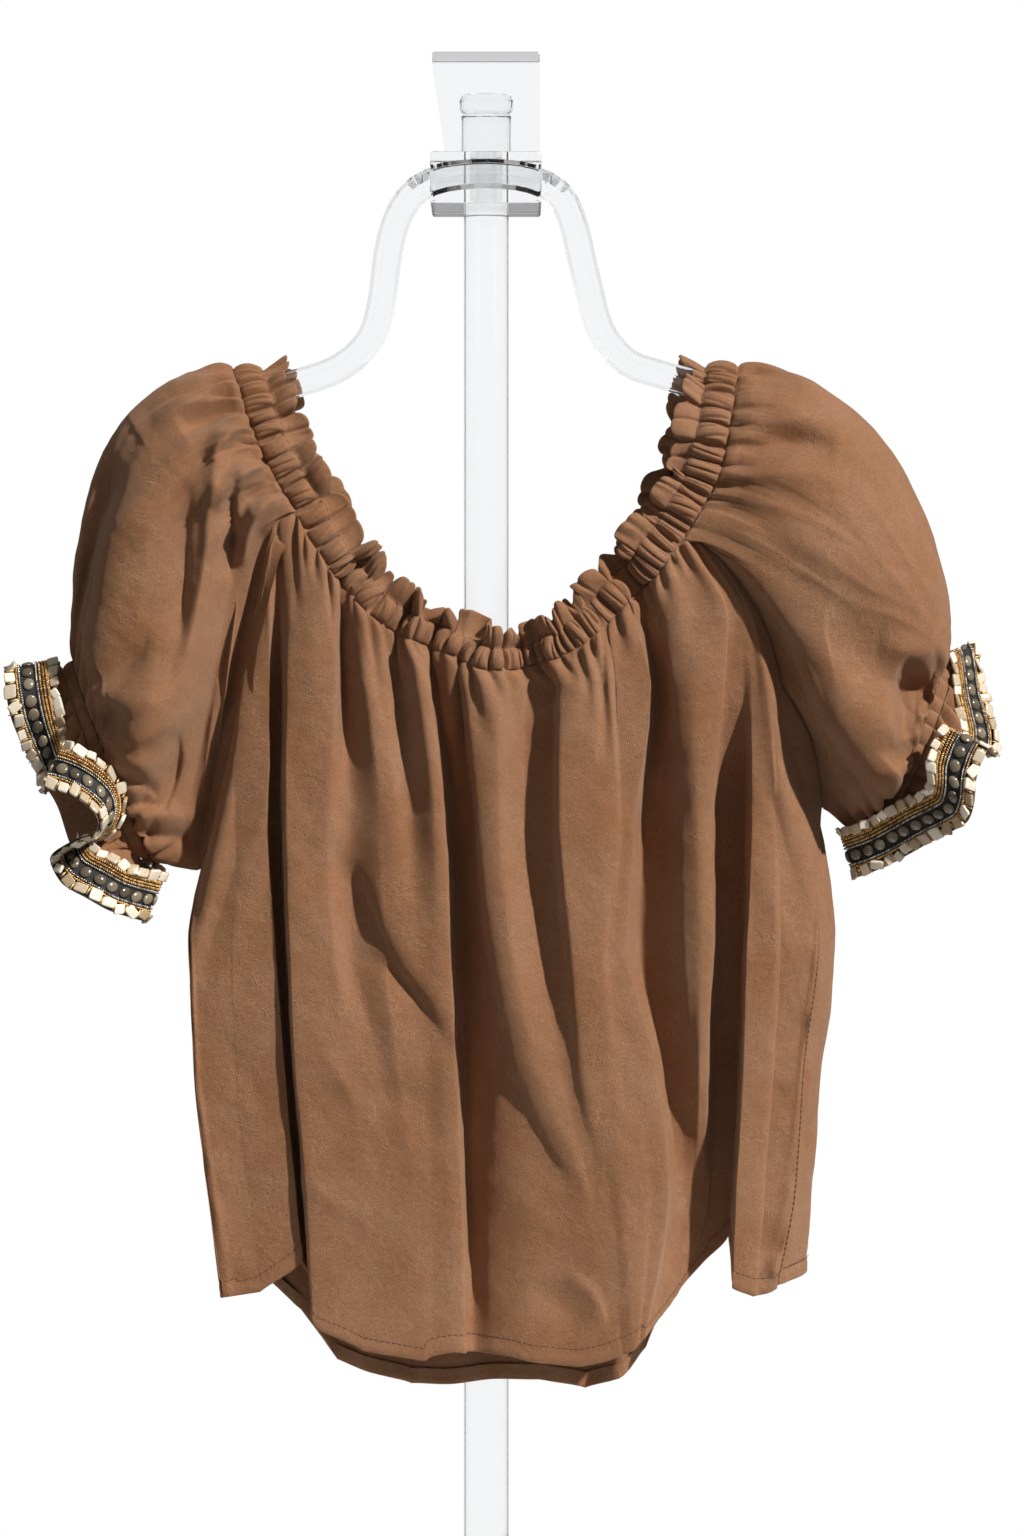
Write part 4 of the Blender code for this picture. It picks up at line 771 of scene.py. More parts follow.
def clear_of_tube(points, room):
    """Cloth lifted where it crosses the tube, so that it lies over it like a blanket over a rail."""
    points, reach = points.copy(), TUBE_RADIUS + room
    x, y, z = np.moveaxis(points, -1, 0)
    for line in TUBE_UNDER_SHOULDERS:
        at, height = np.array(line, float).T
        lean = np.sqrt(1 + np.interp(x, at, np.gradient(height, at)) ** 2)
        arch = np.interp(x, at, height) + lean * np.sqrt(np.clip(reach ** 2 - (y - YOKE_Y) ** 2, 0, None))
        over = (np.abs(y - YOKE_Y) < reach) & (x > at[0]) & (x < at[-1]) & (z > TUBE_LOWEST)
        points[..., 2] = np.where(over, np.maximum(z, arch), z)
    return points


print("the tube is", 2 * TUBE_RADIUS, "mm thick")

# %% [markdown]
# ## The neck strip and its directions
# The neck is finished by a strip folded over elastic: a channel between two rows of stitches, with the fold
# standing up above it as a little frill. Each point of the stitch line needs three directions: along the
# line, across the strip and out of its face.

# %% Directions along the neck
# Width of the channel and of the frill above it, by x across the neck
CHANNEL_WIDTH = ((-142, 15.5), (-105, 15), (-60, 14), (0, 12), (60, 14), (110, 17.5), (142, 18))
HEADER_WIDTH = ((-142, 12), (-105, 13), (-60, 12.5), (0, 12), (60, 12.5), (110, 11.5), (142, 12))
SHOULDER_LIFT = 6.0   # how far the frill stands up over each shoulder


def smooth_ring(values, times):
    for _ in range(times):
        values = (values + np.roll(values, 1, 0) + np.roll(values, -1, 0)) / 3
    return values


def neck_frame(line):
    """Across and facing directions at each point of the neck's stitch line."""
    tangent = unit(smooth_ring(np.roll(line, -3, 0) - np.roll(line, 3, 0), 6))
    inward = np.array([0.0, YOKE_Y, 760.0]) - line
    facing = np.where(line[:, 1] < YOKE_Y, -1.0, 1.0)
    up = np.clip((line[:, 2] - 655) / 45, 0, 1)[:, None]
    zero = np.zeros(len(line))
    normal = unit(np.stack([zero, facing, zero], 1) * (1 - up)
                  + up * unit(np.stack([zero, line[:, 1] - YOKE_Y, line[:, 2] - 672], 1)))
    across = unit(np.cross(normal, tangent))
    across *= np.sign((across * inward).sum(1))[:, None]
    across = unit(smooth_ring(across, 40))
    normal = np.cross(tangent, across)
    normal *= np.sign((normal * np.stack([zero, facing, line[:, 2] * 0 + 0.4], 1)).sum(1))[:, None]
    return tangent, across, unit(smooth_ring(normal, 12)), up


RING_POINTS = 2600
even = np.linspace(0, RING, RING_POINTS, endpoint=False)
ring_closed = np.concatenate([ring, ring[:1]])
run_closed = np.concatenate([ring_run, [RING]])
neck_line = np.stack([np.interp(even, run_closed, ring_closed[:, k]) for k in range(3)], 1)
tangent, across, facing, up_shoulder = neck_frame(neck_line)
channel_width = by_first(CHANNEL_WIDTH, neck_line[:, 0])
frill_width = by_first(HEADER_WIDTH, neck_line[:, 0])
print("strip at its narrowest:", (channel_width + frill_width).min().round(1), "mm")

# %% [markdown]
# ## Puffs between the puckers
# Between two puckers the channel swells into a puff. `part` is the place inside it, from 0 to 1, and `full`
# how far the cloth is filled there: round in the middle and pinched at both ends.

# %% Puffs
order = np.sort(pucker_at)
puff = (np.searchsorted(order, even) - 1) % pucker_count
here, after = order[puff], order[(puff + 1) % pucker_count]
puff_width = (after - here) % RING
part = ((even - here) % RING) / puff_width
full = np.sqrt(np.clip(1 - np.abs(2 * part - 1) ** 2.2, 0, 1)) * np.clip(puff_width / 9.0, 0.6, 1.2)
full = smooth_ring(full, 1)
notch = np.exp(-(np.minimum(part, 1 - part) * puff_width / 1.15) ** 2)
print("widest puff:", puff_width.max().round(1), "mm")

# %% [markdown]
# ## The channel
# Each puff has a crease or two of its own, aslant between the stitch lines, which the elastic draws
# together at each pucker. Each row of the grid is the stitch line moved across the strip and then in or
# out.

# %% Channel
CHANNEL_ROWS = 15
crease_count = draw.integers(2, 4, pucker_count)[puff]
crease_slant = draw.uniform(-0.9, 0.9, pucker_count)[puff]
crease_deep = draw.uniform(0.7, 1.9, pucker_count)[puff]
sag = draw.uniform(-0.5, 1.0, pucker_count)[puff]
channel_rows = []
for t in np.linspace(0, 1, CHANNEL_ROWS):
    belly = math.sin(math.pi * t) ** 0.5
    across_puff = part * crease_count + crease_slant * (t - 0.5)
    crease = np.exp(-((across_puff % 1 - 0.5) / 0.15) ** 2) * full
    height = (-1.3 + 3.9 * full * belly + 0.2 * belly - crease_deep * crease * belly
              - 2.3 * notch * (0.7 + 0.7 * belly))[:, None]
    drawn = (1.3 * (1 - full) - sag * full) * (1 - 2 * t)
    channel_rows.append(neck_line + across * (t * channel_width + drawn)[:, None] + facing * height
                        + tangent * (1.3 * crease_slant * belly)[:, None])
channel = np.stack(channel_rows, 1)
print("channel", channel.shape)

# %% [markdown]
# ## Scallops of the frill
# The frill stands up in round scallops, each as long as one puff or two. A scallop leans over to one side,
# bulges forwards or backwards, and is pinched at both ends. Some have a dent where the fold is pressed in.

# %% Scallops
starts = np.cumsum(draw.choice([1, 2, 2], pucker_count))
starts = order[starts[starts < pucker_count]]
lobe = (np.searchsorted(starts, even) - 1) % len(starts)
lobe_from, lobe_to = starts[lobe], starts[(lobe + 1) % len(starts)]
lobe_long = (lobe_to - lobe_from) % RING
u = ((even - lobe_from) % RING) / lobe_long
round_top = np.sqrt(np.clip(1 - np.abs(2 * u - 1) ** 3.2, 0, 1))
lobe_lean = draw.uniform(-1.3, 0.7, len(starts))[lobe]
lobe_high = draw.uniform(0.78, 1.12, len(starts))[lobe] * np.clip(lobe_long / 14.0, 0.72, 1.05)
lobe_out = (draw.uniform(2.6, 5.4, len(starts)) * np.where(np.arange(len(starts)) % 3 == 2, -0.6, 1))[lobe]
lobe_out = lobe_out * (1 - 0.55 * up_shoulder[:, 0])
dent = np.exp(-((u - draw.uniform(0.3, 0.7, len(starts))[lobe]) / 0.11) ** 2)
dent = dent * draw.uniform(0.6, 2.6, len(starts))[lobe]
round_top, dent = smooth_ring(round_top, 1), smooth_ring(dent, 1)
print(len(starts), "scallops")

# %% [markdown]
# ## The frill and the whole strip
# The frill goes up, turns over its soft fold and comes down again behind, with a little air between its two
# layers. Three more rows close the channel's back. Then the whole strip is lifted clear of the tube.

# %% Frill and strip
FRILL_ROWS = 11
frill_out, top = [], channel[:, -1]
for t in np.linspace(0, 1, FRILL_ROWS):
    scallop = 0.48 + 0.58 * round_top + 0.4 * (1 - round_top) * up_shoulder[:, 0]
    reach = frill_width * lobe_high * scallop * t
    swell = math.sin(math.pi * min(1.0, 0.62 * t + 0.05))
    height = (-0.9 * (1 - t) + lobe_out * round_top * swell * 1.3 - 2.4 * (1 - round_top) * swell
              - dent * swell * t ** 0.5)[:, None]
    frill_out.append(top + across * reach[:, None] + facing * height
                     + tangent * (lobe_lean * 3.2 * t ** 1.5 * round_top)[:, None]
                     + up_shoulder * (0, 0, SHOULDER_LIFT) * t)
frill_out = np.stack(frill_out, 1)
apart = 0.9 + 1.7 * np.sin(np.pi * np.linspace(1, 0, FRILL_ROWS) ** 0.8)[None, :] * round_top[:, None]
frill_in = (frill_out[:, ::-1] - facing[:, None] * apart[..., None])[:, ::2]
fold = (frill_out[:, -1:] + frill_in[:, :1]) / 2 + across[:, None] * 0.6
back_rows = np.stack([neck_line - facing * 2.6 + across * (channel_width * t)[:, None]
                      - facing * (0.8 * full * math.sin(math.pi * t))[:, None]
                      for t in (1.0, 0.5, 0.0)], 1)
neck_strip = clear_of_tube(np.concatenate([channel, frill_out[:, 1:], fold, frill_in, back_rows], 1), 1.2)
print("neck strip", neck_strip.shape)

# %% [markdown]
# ## Cuffs in space
# Each sleeve is gathered into a cuff that hangs open and tilted, so the cuff is given first: its middle,
# its half height and half depth, and the way that it points. `cuff_ring` goes round it by angle.

# %% Cuff rings
# Middle, half the height (top to middle) and half the depth (front to middle), each x, y, z
CUFFS = {
    "left": dict(side=-1, middle=(-209, -62, 482.5), up=(-21.8, 0, 55.3), front=(-1.5, -25, 0),
                 axis=(-0.93, 0.0, -0.36)),
    "right": dict(side=1, middle=(232, -62, 492.5), up=(21.3, 0, 47.9), front=(7, -26, 0),
                  axis=(0.90, 0.12, -0.40)),
}


def cuff_ring(cuff, angle, out=0.0, tighter=0.0):
    """A point on the cuff: angle from its top by the front, out along its axis."""
    a = np.radians(angle)[:, None]
    up, front_way = np.array(cuff["up"]), np.array(cuff["front"])
    up = up * (1 - tighter / np.linalg.norm(up))
    front_way = front_way * (1 - tighter / np.linalg.norm(front_way))
    return np.array(cuff["middle"]) + up * np.cos(a) + front_way * np.sin(a) + out * unit(cuff["axis"])


for name, cuff in CUFFS.items():
    print(name, "cuff is", round(2 * np.linalg.norm(cuff["up"])), "mm high")

# %% [markdown]
# ## Armholes
# A raglan sleeve starts from the neck ring and both raglan seams. Going round this armhole, each point gets
# a turn: 0 at the underarm, 0.25 at the front raglan's top, 0.5 on the shoulder and 0.75 at the back
# raglan's top. All tables of the sleeves use it.

# %% Armholes


def armhole_loop(front_part, shoulder, back_part):
    """The armhole, from the underarm up the front and down the back, and the turn of each point."""
    loop = np.concatenate([front_part[:-1], shoulder[:-1], back_part[:-1]])
    turns = []
    for part_line, low, high in ((front_part, 0, 0.25), (shoulder, 0.25, 0.75), (back_part, 0.75, 1.0)):
        run = run_of(part_line)
        turns.append((low + (high - low) * run / run[-1])[:-1])
    return loop, np.concatenate(turns)


left_front_seam = front[:front_left_top + 1, 0]
right_front_seam = front[front_right_top:, 0][::-1]
left_loop, left_turns = armhole_loop(evenly(left_front_seam, 90), left_shoulder,
                                     evenly(back[:back_left_top + 1, 0][::-1], 70))
right_loop, right_turns = armhole_loop(evenly(right_front_seam, 80), right_shoulder,
                                       evenly(back[back_right_top:, 0], 70))


def ring_place(loop):
    """The place round the neck ring that is nearest to each point of an armhole."""
    gap = np.linalg.norm(loop[:, None] - ring[None, ::2], axis=2)
    return ring_run[::2][gap.argmin(1)]


print("armholes:", left_loop.shape, right_loop.shape)

# %% [markdown]
# ## How a sleeve swells
# A puff sleeve is a tube much wider than its two ends. Each column leaves the armhole and arrives at the
# cuff along a pull of its own, as a Bezier curve does along its handles. The stronger the pull, the further
# the cloth swells.

# %% Pulls of the sleeves
# "cuff" is the angle on the cuff from its lowest point, out_ the pull leaving the armhole and in_ the pull
# arriving at the cuff, each as x away from the body, y and z.
SLEEVE_PULLS = {
    # turn, cuff, out_x, out_y, out_z, in_x, in_y, in_z
    "left": (
        (0, 0, 8, 0, 0, -5, 0, -5), (0.08, 35, 14, -22, -4, -4, -20, -5),
        (0.16, 62, 22, -34, -8, 4, -36, 2), (0.25, 95, 36, -26, -4, 8, -38, 26),
        (0.37, 135, 50, -22, 4, 4, -26, 60), (0.5, 180, 74, 0, -9, 2, 0, 102),
        (0.63, 225, 50, 16, 4, 4, 22, 60), (0.75, 265, 40, 20, 4, 6, 28, 26),
        (0.84, 298, 22, 24, -4, 2, 28, 2), (0.92, 325, 14, 16, -6, -4, 16, -6),
        (1, 360, 8, 0, 0, -5, 0, -5),
    ),
    "right": (
        (0, 0, 10, 0, -2, -5, 0, -6), (0.08, 35, 16, -22, -6, -2, -20, -6),
        (0.14, 55, 20, -30, -12, 8, -34, 0), (0.2, 76, 22, -28, -18, 13, -36, 8),
        (0.25, 95, 30, -24, -10, 16, -36, 16), (0.37, 135, 56, -22, 6, 18, -26, 36),
        (0.5, 180, 86, 0, 5, 15, 0, 60), (0.63, 225, 56, 16, 6, 14, 22, 36),
        (0.75, 265, 40, 20, 4, 10, 28, 16), (0.84, 298, 22, 24, -4, 4, 28, 0),
        (0.92, 325, 18, 14, -2, -2, 16, -2), (1, 360, 10, 0, -2, -5, 0, -6),
    ),
}
SOFTENINGS = 170


def sleeve_form(side, loop, turns, v):
    """The smooth sleeve: its grid, and the angle at which each column reaches the cuff."""
    pulls, mirror = np.array(SLEEVE_PULLS[side]), (CUFFS[side]["side"], 1, 1)
    pull = np.stack([ease(pulls[:, 0], pulls[:, c], turns) for c in range(1, 8)], axis=1)
    end = cuff_ring(CUFFS[side], 180 - pull[:, 0])
    out, back_pull = pull[:, 1:4] * mirror, pull[:, 4:7] * mirror
    v3 = v[None, :, None]
    loop3, end3 = loop[:, None], end[:, None]
    grid = ((1 - v3) ** 3 * loop3 + 3 * v3 * (1 - v3) ** 2 * (loop3 + out[:, None])
            + 3 * v3 ** 2 * (1 - v3) * (end3 + back_pull[:, None]) + v3 ** 3 * end3)
    # The corners of the armhole soften within a hand's width of the seam.
    soft = ((0.5 * ramp(v, 0.02, 0.3) * ramp(-v, -0.95, -0.75))[None]
            * ramp(np.minimum(turns, 1 - turns), 0.03, 0.1)[:, None])
    for _ in range(SOFTENINGS):
        grid = grid + soft[..., None] * ((np.roll(grid, 1, 0) + np.roll(grid, -1, 0)) / 2 - grid)
    return grid, (180 - pull[:, 0]) % 360


SLEEVE_ROWS = np.linspace(0, 1, 190)
SLEEVE_ROWS = SLEEVE_ROWS + 0.035 * np.sin(2 * np.pi * SLEEVE_ROWS)
plain_left, _ = sleeve_form("left", left_loop, left_turns, SLEEVE_ROWS)
print("left sleeve out to", plain_left[..., 0].min().round())

# %% [markdown]
# ## Large folds of the sleeves
# On the smooth swell lie a few large rolls and hollows. Each is a row: its turn at both ends, how wide and
# how deep it is, and over what part of the way. At the underarm they fade out, because the cloth is sewn
# flat there.

# %% Folds of the sleeves
# turn at the armhole and at the cuff, width in turns, depth outward, and the part of the way where it runs
SLEEVE_FOLDS = {
    "left": (
        ("crest_over_tube", 0.44, 0.47, 0.045, 3, 0, 0.5),
        ("outer_furrow", 0.45, 0.42, 0.035, -6, 0.35, 0.98),
        ("front_roll", 0.32, 0.35, 0.05, 5, 0.05, 0.85),
        ("front_hollow", 0.25, 0.27, 0.04, -7, 0.15, 0.8),
        ("low_roll", 0.17, 0.2, 0.045, 6, 0.15, 1),
        ("low_hollow", 0.1, 0.12, 0.035, -6, 0.25, 0.95),
        ("back_roll", 0.66, 0.63, 0.06, 5, 0.1, 0.9),
        ("back_hollow", 0.76, 0.73, 0.05, -6, 0.15, 0.85),
        ("back_low_roll", 0.86, 0.83, 0.05, 5, 0.2, 0.95),
    ),
    "right": (
        ("crest_over_tube", 0.45, 0.46, 0.05, 2.5, 0, 0.5),
        ("front_roll", 0.3, 0.36, 0.07, 5, 0.1, 0.95),
        ("front_hollow", 0.2, 0.27, 0.05, -6, 0.45, 1),
        ("low_roll", 0.12, 0.18, 0.06, 7, 0.2, 1),
        ("low_hollow", 0.06, 0.09, 0.03, -4, 0.3, 0.9),
        ("back_roll", 0.66, 0.63, 0.06, 5, 0.1, 0.9),
        ("back_hollow", 0.76, 0.73, 0.05, -6, 0.15, 0.85),
        ("back_low_roll", 0.86, 0.83, 0.05, 5, 0.2, 0.95),
    ),
}


def with_folds(side, grid, turns, v):
    sign = CUFFS[side]["side"]
    normal = grid_normals(grid, True) * -sign
    push = np.zeros(grid.shape[:2])
    for _, start, stop, wide, deep, v0, v1 in SLEEVE_FOLDS[side]:
        run = np.sin(np.pi * np.clip((v - v0) / (v1 - v0), 0, 1)) ** 0.6
        where = start + (stop - start) * v
        push += deep * run[None] * np.exp(-((turns[:, None] - where[None]) / wide) ** 2)
    push *= np.clip(np.minimum(turns, 1 - turns) / 0.06, 0, 1)[:, None]
    return grid + normal * (push * np.sin(np.pi * np.clip(v, 0, 1))[None] ** 0.15)[..., None]


print("large folds:", [len(rows) for rows in SLEEVE_FOLDS.values()])

# %% [markdown]
# ## Gathers of the sleeves
# The sleeve is gathered twice: into the neck, with the channel's own puckers, and on to the cuff's elastic,
# where the puckers are drawn at random and run up the sleeve by different lengths.

# %% Gathers of the sleeves
CUFF_PUCKERS = 26
# The random seed at each cuff, and how strong the neck's gathers are
CUFF_SEED = {"left": 31, "right": 32}
NECK_GATHER = {"left": 1.7, "right": 0.85}


def cuff_gathers(side, around, up_run):
    """How far the cloth stands out near the cuff, at angles round it and at lengths above its elastic."""
    pick = np.random.default_rng(CUFF_SEED[side])
    gap = pick.uniform(0.5, 1.5, CUFF_PUCKERS)
    angle = np.cumsum(gap) / gap.sum() * 360
    push = 3.4 * (1 - np.exp(-up_run / 6.0)) * np.exp(-up_run / 40.0)
    depths, lengths = pick.uniform(0.6, 1.2, CUFF_PUCKERS), pick.uniform(14, 62, CUFF_PUCKERS)
    for at, deep, length in zip(angle, depths, lengths):
        away = np.abs((around - at + 180) % 360 - 180) * 0.75
        fade = np.clip(1 - up_run / length, 0, 1) ** 1.4
        push = push - 4.2 * deep * (1 - np.exp(-(up_run + 1) / 2.5)) * fade * np.exp(
            -(away[:, None] / (1.7 + up_run * 0.06)) ** 2)
    return push


print(CUFF_PUCKERS, "puckers at each cuff")

# %% [markdown]
# ## Creases of the sleeves
# Two kinds of crease lie on the sleeves. Some are placed by turn and by part of the way down, so they
# follow the sleeve round. The others are placed as seen from the front, like the body's, and push the cloth
# straight forwards.

# %% Creases of the sleeves
SLEEVE_CREASES = {
    # turn at both ends, part of the way from armhole to cuff at both ends, width and depth in mm, bow in mm
    "left": (
        (0.44, 0.03, 0.45, 0.55, 6, 2, 0, 0), (0.36, 0.1, 0.38, 0.7, 8, 1.8, 3, 0),
        (0.33, 0.15, 0.31, 0.6, 6, -1.8, 2, 0), (0.22, 0.55, 0.3, 0.9, 7, 2.6, 5, 0),
        (0.25, 0.6, 0.33, 0.92, 6, -3.2, 5, 0), (0.18, 0.7, 0.24, 0.95, 5, -2.2, 3, 0),
    ),
    "right": (
        (0.3, 0.25, 0.33, 0.55, 8, 1.6, 3, 0), (0.36, 0.35, 0.34, 0.75, 3, 0.7, 4, 0),
        (0.39, 0.4, 0.37, 0.8, 2.5, 0.6, 4, 0), (0.27, 0.72, 0.33, 0.93, 6, -3.4, 4, 0),
        (0.22, 0.75, 0.27, 0.95, 5, 2.6, 3, 0), (0.33, 0.8, 0.35, 0.98, 5, -3, 2, 0),
    ),
}


# Creases on the front of each sleeve, in the same columns as the front's
SLEEVE_FRONT_CREASES = {
    "left": (
        (-208, 640, -231, 528, 9, -12, 2, 1), (-226, 600, -236, 540, 5, 5, 1, 0),
        (-148, 661, -168, 526, 14, 9, 3, -1), (-164, 627, -169, 553, 9, -6, 0, 1),
        (-139, 635, -142, 587, 6, -9, 0, 1), (-137, 600, -170, 440, 22, -25, 0, 1),
        (-124, 604, -160, 437, 8, -19, 0, 0), (-142, 690, -182, 678, 9, 8, -3, 0),
        (-141, 680, -164, 664, 8, -10, 2, 0), (-128, 668, -151, 648, 6, 9, -3, 1),
        (-126, 656, -148, 636, 4, -6, -3, 0), (-122, 645, -146, 622, 6, 9, -4, 1),
        (-118, 636, -140, 604, 4, -6, -4, 0), (-113, 632, -134, 594, 7, 8, -5, 1),
        (-188, 616, -196, 549, 14, 2.5, 3, 0), (-168, 508, -195, 491, 12, 6, 3, 1),
        (-204, 510, -213, 498, 6.5, -10, 0, 0), (-168, 521, -205, 512, 10, 4.5, 4, 0),
        (-171, 494, -178, 458, 6.5, -7, 2, 1), (-208, 473, -183, 463, 4, -5, 2, 0),
        (-207, 456, -180, 456, 4, -5, 2, 0), (-206, 448, -165, 450, 6, 4, 2, 0),
        (-206, 438, -167, 439, 4, -4.5, 2, 0), (-200, 482, -180, 473, 7, 3.5, 0, 0),
    ),
    "right": (
        (229, 527, 250, 515, 14, -17, 0, 0), (222, 544, 254, 540, 9, 5, -2, 0),
        (229, 523, 231, 497, 7, -13, 0, -1), (223, 521, 225, 492, 10, 6, 0, 1),
        (238, 506, 249, 502, 7, 7, 0, 0), (228, 478, 240, 490, 8, -13, 0, 0),
        (222, 466, 234, 482, 6, 7, 0, 0), (204, 464, 226, 478, 12, 4, 2, 0),
        (199, 446, 218, 457, 5, -5, 0, 0), (222, 457, 233, 470, 5, -5, 2, 0),
        (142, 627, 204, 601, 2.6, 0.8, 3, 0), (153, 594, 209, 563, 2.6, 0.7, 3, 0),
        (187, 594, 232, 568, 2.4, 0.7, -3, 0), (204, 568, 257, 542, 2.6, 0.7, 3, 0),
        (143, 699, 177, 696, 7, -8, -3, 0), (142, 688, 184, 692, 9, 3.5, 0, 0),
        (139, 651, 188, 657, 9, -8, 3, 0), (139, 663, 190, 670, 9, 3.5, 3, 0),
        (139, 636, 193, 638, 8, 4, 3, 0), (127, 616, 176, 590, 9, -3, 4, 0),
        (176, 515, 204, 465, 11, 3, 5, 0), (168, 549, 190, 506, 8, -3, 4, 0),
    ),
}
print("creases in front:", [len(rows) for rows in SLEEVE_FRONT_CREASES.values()])

# %% [markdown]
# ## The whole sleeve
# The parts are added up in order: smooth form, large folds, gathers, creases and unevenness. The right
# sleeve stays nearly level with the body beside its front seam. Last the cloth is lifted clear of the tube
# and tucked under its seams.

# %% Sleeves
SLEEVE_WIDTH, SLEEVE_LENGTH = 420, 200      # mm for a whole turn and for the whole way to the cuff


def sleeve_creases(side, turns, v):
    flat = np.stack([turns[:, None] * SLEEVE_WIDTH + 0 * v[None],
                     v[None] * SLEEVE_LENGTH + 0 * turns[:, None]], -1)
    scale = (SLEEVE_WIDTH, SLEEVE_LENGTH) * 2
    table = [[place * by for place, by in zip(row, scale)] + list(row[4:]) for row in SLEEVE_CREASES[side]]
    return creases(flat, table, (0, 1))


def level_with_body(grid, loop, turns, down):
    """The cloth beside the front raglan, held back so that it rises only slowly from the body."""
    ahead = loop[:, None, 1] - 1.0 - 0.1 * down - 0.009 * down ** 2 - grid[..., 1]
    grid[..., 1] += (0.5 * (ahead + np.sqrt(ahead ** 2 + 6)) * ramp(-turns, -0.36, -0.27)[:, None]
                     * ramp(loop[:, None, 2], 505, 540) * ramp(down, 0, 3))


def sleeve(side, loop, turns, ring_at):
    sign, v = CUFFS[side]["side"], SLEEVE_ROWS
    grid, around = sleeve_form(side, loop, turns, v)
    grid = with_folds(side, grid, turns, v)
    normal = grid_normals(grid, True) * -sign
    down = np.cumsum(np.linalg.norm(np.diff(grid, axis=1, prepend=grid[:, :1]), axis=2), axis=1)
    up_run = down[:, -1:] - down
    # Gathers where the armhole runs along the neck ring, and a dip along the raglans
    on_ring = ramp(turns, 0.24, 0.28) * ramp(-turns, -0.76, -0.72)
    push = NECK_GATHER[side] * gathers(
        np.broadcast_to(ring_at[:, None], down.shape), down * 0.62, 0.15) * on_ring[:, None]
    push -= (1.0 * (1 - on_ring))[:, None] * np.exp(-(down / 1.6) ** 2)
    push += cuff_gathers(side, around, up_run)
    push += sleeve_creases(side, turns, v)
    push += 0.6 * ripple(grid, 40.0, 21 + sign) * ramp(down, 4, 30) * ramp(up_run, 0, 20)
    push += 0.16 * ripple(grid, 12.0, 25 + sign)
    front_side = np.clip(-1.6 * normal[..., 1], 0, 1)
    forward = (creases(grid, SLEEVE_FRONT_CREASES[side]) * front_side
               * ramp(down, 0.2, 2.8 if side == "left" else 11) * ramp(up_run, 0, 10))
    grid = grid + normal * push[..., None] + np.array([0.0, -1.0, 0.0]) * forward[..., None]
    if side == "right":
        level_with_body(grid, loop, turns, down)
    normal = grid_normals(grid, True) * -sign
    return tucked(clear_of_tube(grid, 1.0), normal, loop, 1 - on_ring, 2.6, 8.0)


sleeves = {"left": sleeve("left", left_loop, left_turns, ring_place(left_loop)),
           "right": sleeve("right", right_loop, right_turns, ring_place(right_loop))}
print("sleeves:", [grid.shape for grid in sleeves.values()])

# %% [markdown]
# ## The swing of the frills
# The sleeve's end is shirred on to elastic, and a frill stands out from it. The frill is much longer than
# the elastic, so its free edge, with the jewelled band, has to swing in and out. A simulation would swing
# it each time in another way, so a table says where it goes.

# %% Lines of the frills
ELASTIC_WIDTH = 8.0
TRIM_WIDTH = 24.0
# Angle round the cuff from its top by the front, the trim's inner edge, and a point beyond its outer edge
FRILLS = {
    "left": (
        # angle, in_x, in_y, in_z, out_x, out_y, out_z
        (10, -245.3, -70, 535.4, -270.5, -72, 530.9), (35, -243.6, -82, 520.8, -266.6, -86, 515.2),
        (52, -240.2, -81, 505, -262, -75, 494), (62, -236, -76, 490, -252, -66, 474),
        (70, -232, -81, 482, -246, -80, 463), (77, -233, -93, 483, -243.5, -99, 463),
        (83, -234.5, -101, 486.5, -244.5, -109, 466), (89, -224.5, -105, 482.5, -233, -117, 462.5),
        (95, -214.5, -107, 476, -221.5, -120, 456), (102, -206, -104, 466, -213.5, -117, 448),
        (109, -204, -98, 456.5, -214, -111, 443), (118, -209.4, -90, 443, -226, -104, 438),
        (130, -222, -80, 436, -243, -87, 426), (142, -220.6, -88, 430, -237.4, -97, 413),
        (155, -209.4, -90, 423.4, -222.9, -100, 403), (168, -197.1, -84, 417, -208.3, -92, 397),
        (182, -182.5, -70, 413.3, -190.4, -74, 393.7), (205, -188, -50, 420, -204, -46, 402),
        (235, -212, -36, 440, -233, -30, 428), (265, -222, -30, 465, -244, -22, 456),
        (295, -236, -36, 490, -258, -30, 480), (325, -241, -44, 515, -264, -42, 508),
        (350, -245, -57, 533, -270, -57, 529),
    ),
    "right": (
        (5, 261, -66, 541, 274, -50, 546), (22, 262.5, -72, 529.5, 276, -56, 532),
        (37, 264, -74, 517, 279, -57, 518), (49, 266, -74, 507, 282.5, -58, 507),
        (57, 268, -73, 497, 284, -60, 495), (64, 266.5, -76, 489.5, 281, -66, 486),
        (71, 261.5, -87, 488, 279, -82, 484), (77, 257.5, -98, 493, 280, -98, 485),
        (82, 257, -105, 498, 281.5, -106, 486), (90, 252, -108, 488.5, 278.5, -111, 478.5),
        (99, 249.5, -107, 478.5, 273.5, -111, 468), (109, 250, -105, 469.5, 271, -108, 457),
        (118, 249.5, -100, 463.5, 267, -103, 449.5), (128, 243.5, -94, 459.5, 259.5, -95, 443.5),
        (140, 234, -88, 455, 249, -86, 437), (153, 223, -81, 448.5, 237, -77, 428.5),
        (166, 211, -75, 442, 222, -70, 420.5), (182, 200.5, -64, 438, 207, -60, 418),
        (202, 207, -49, 440, 217, -44, 421), (230, 226, -40, 455, 243, -32, 440),
        (262, 238, -34, 480, 260, -28, 470), (295, 250, -38, 505, 272, -32, 499),
        (330, 258, -50, 530, 278, -38, 531),
    ),
}


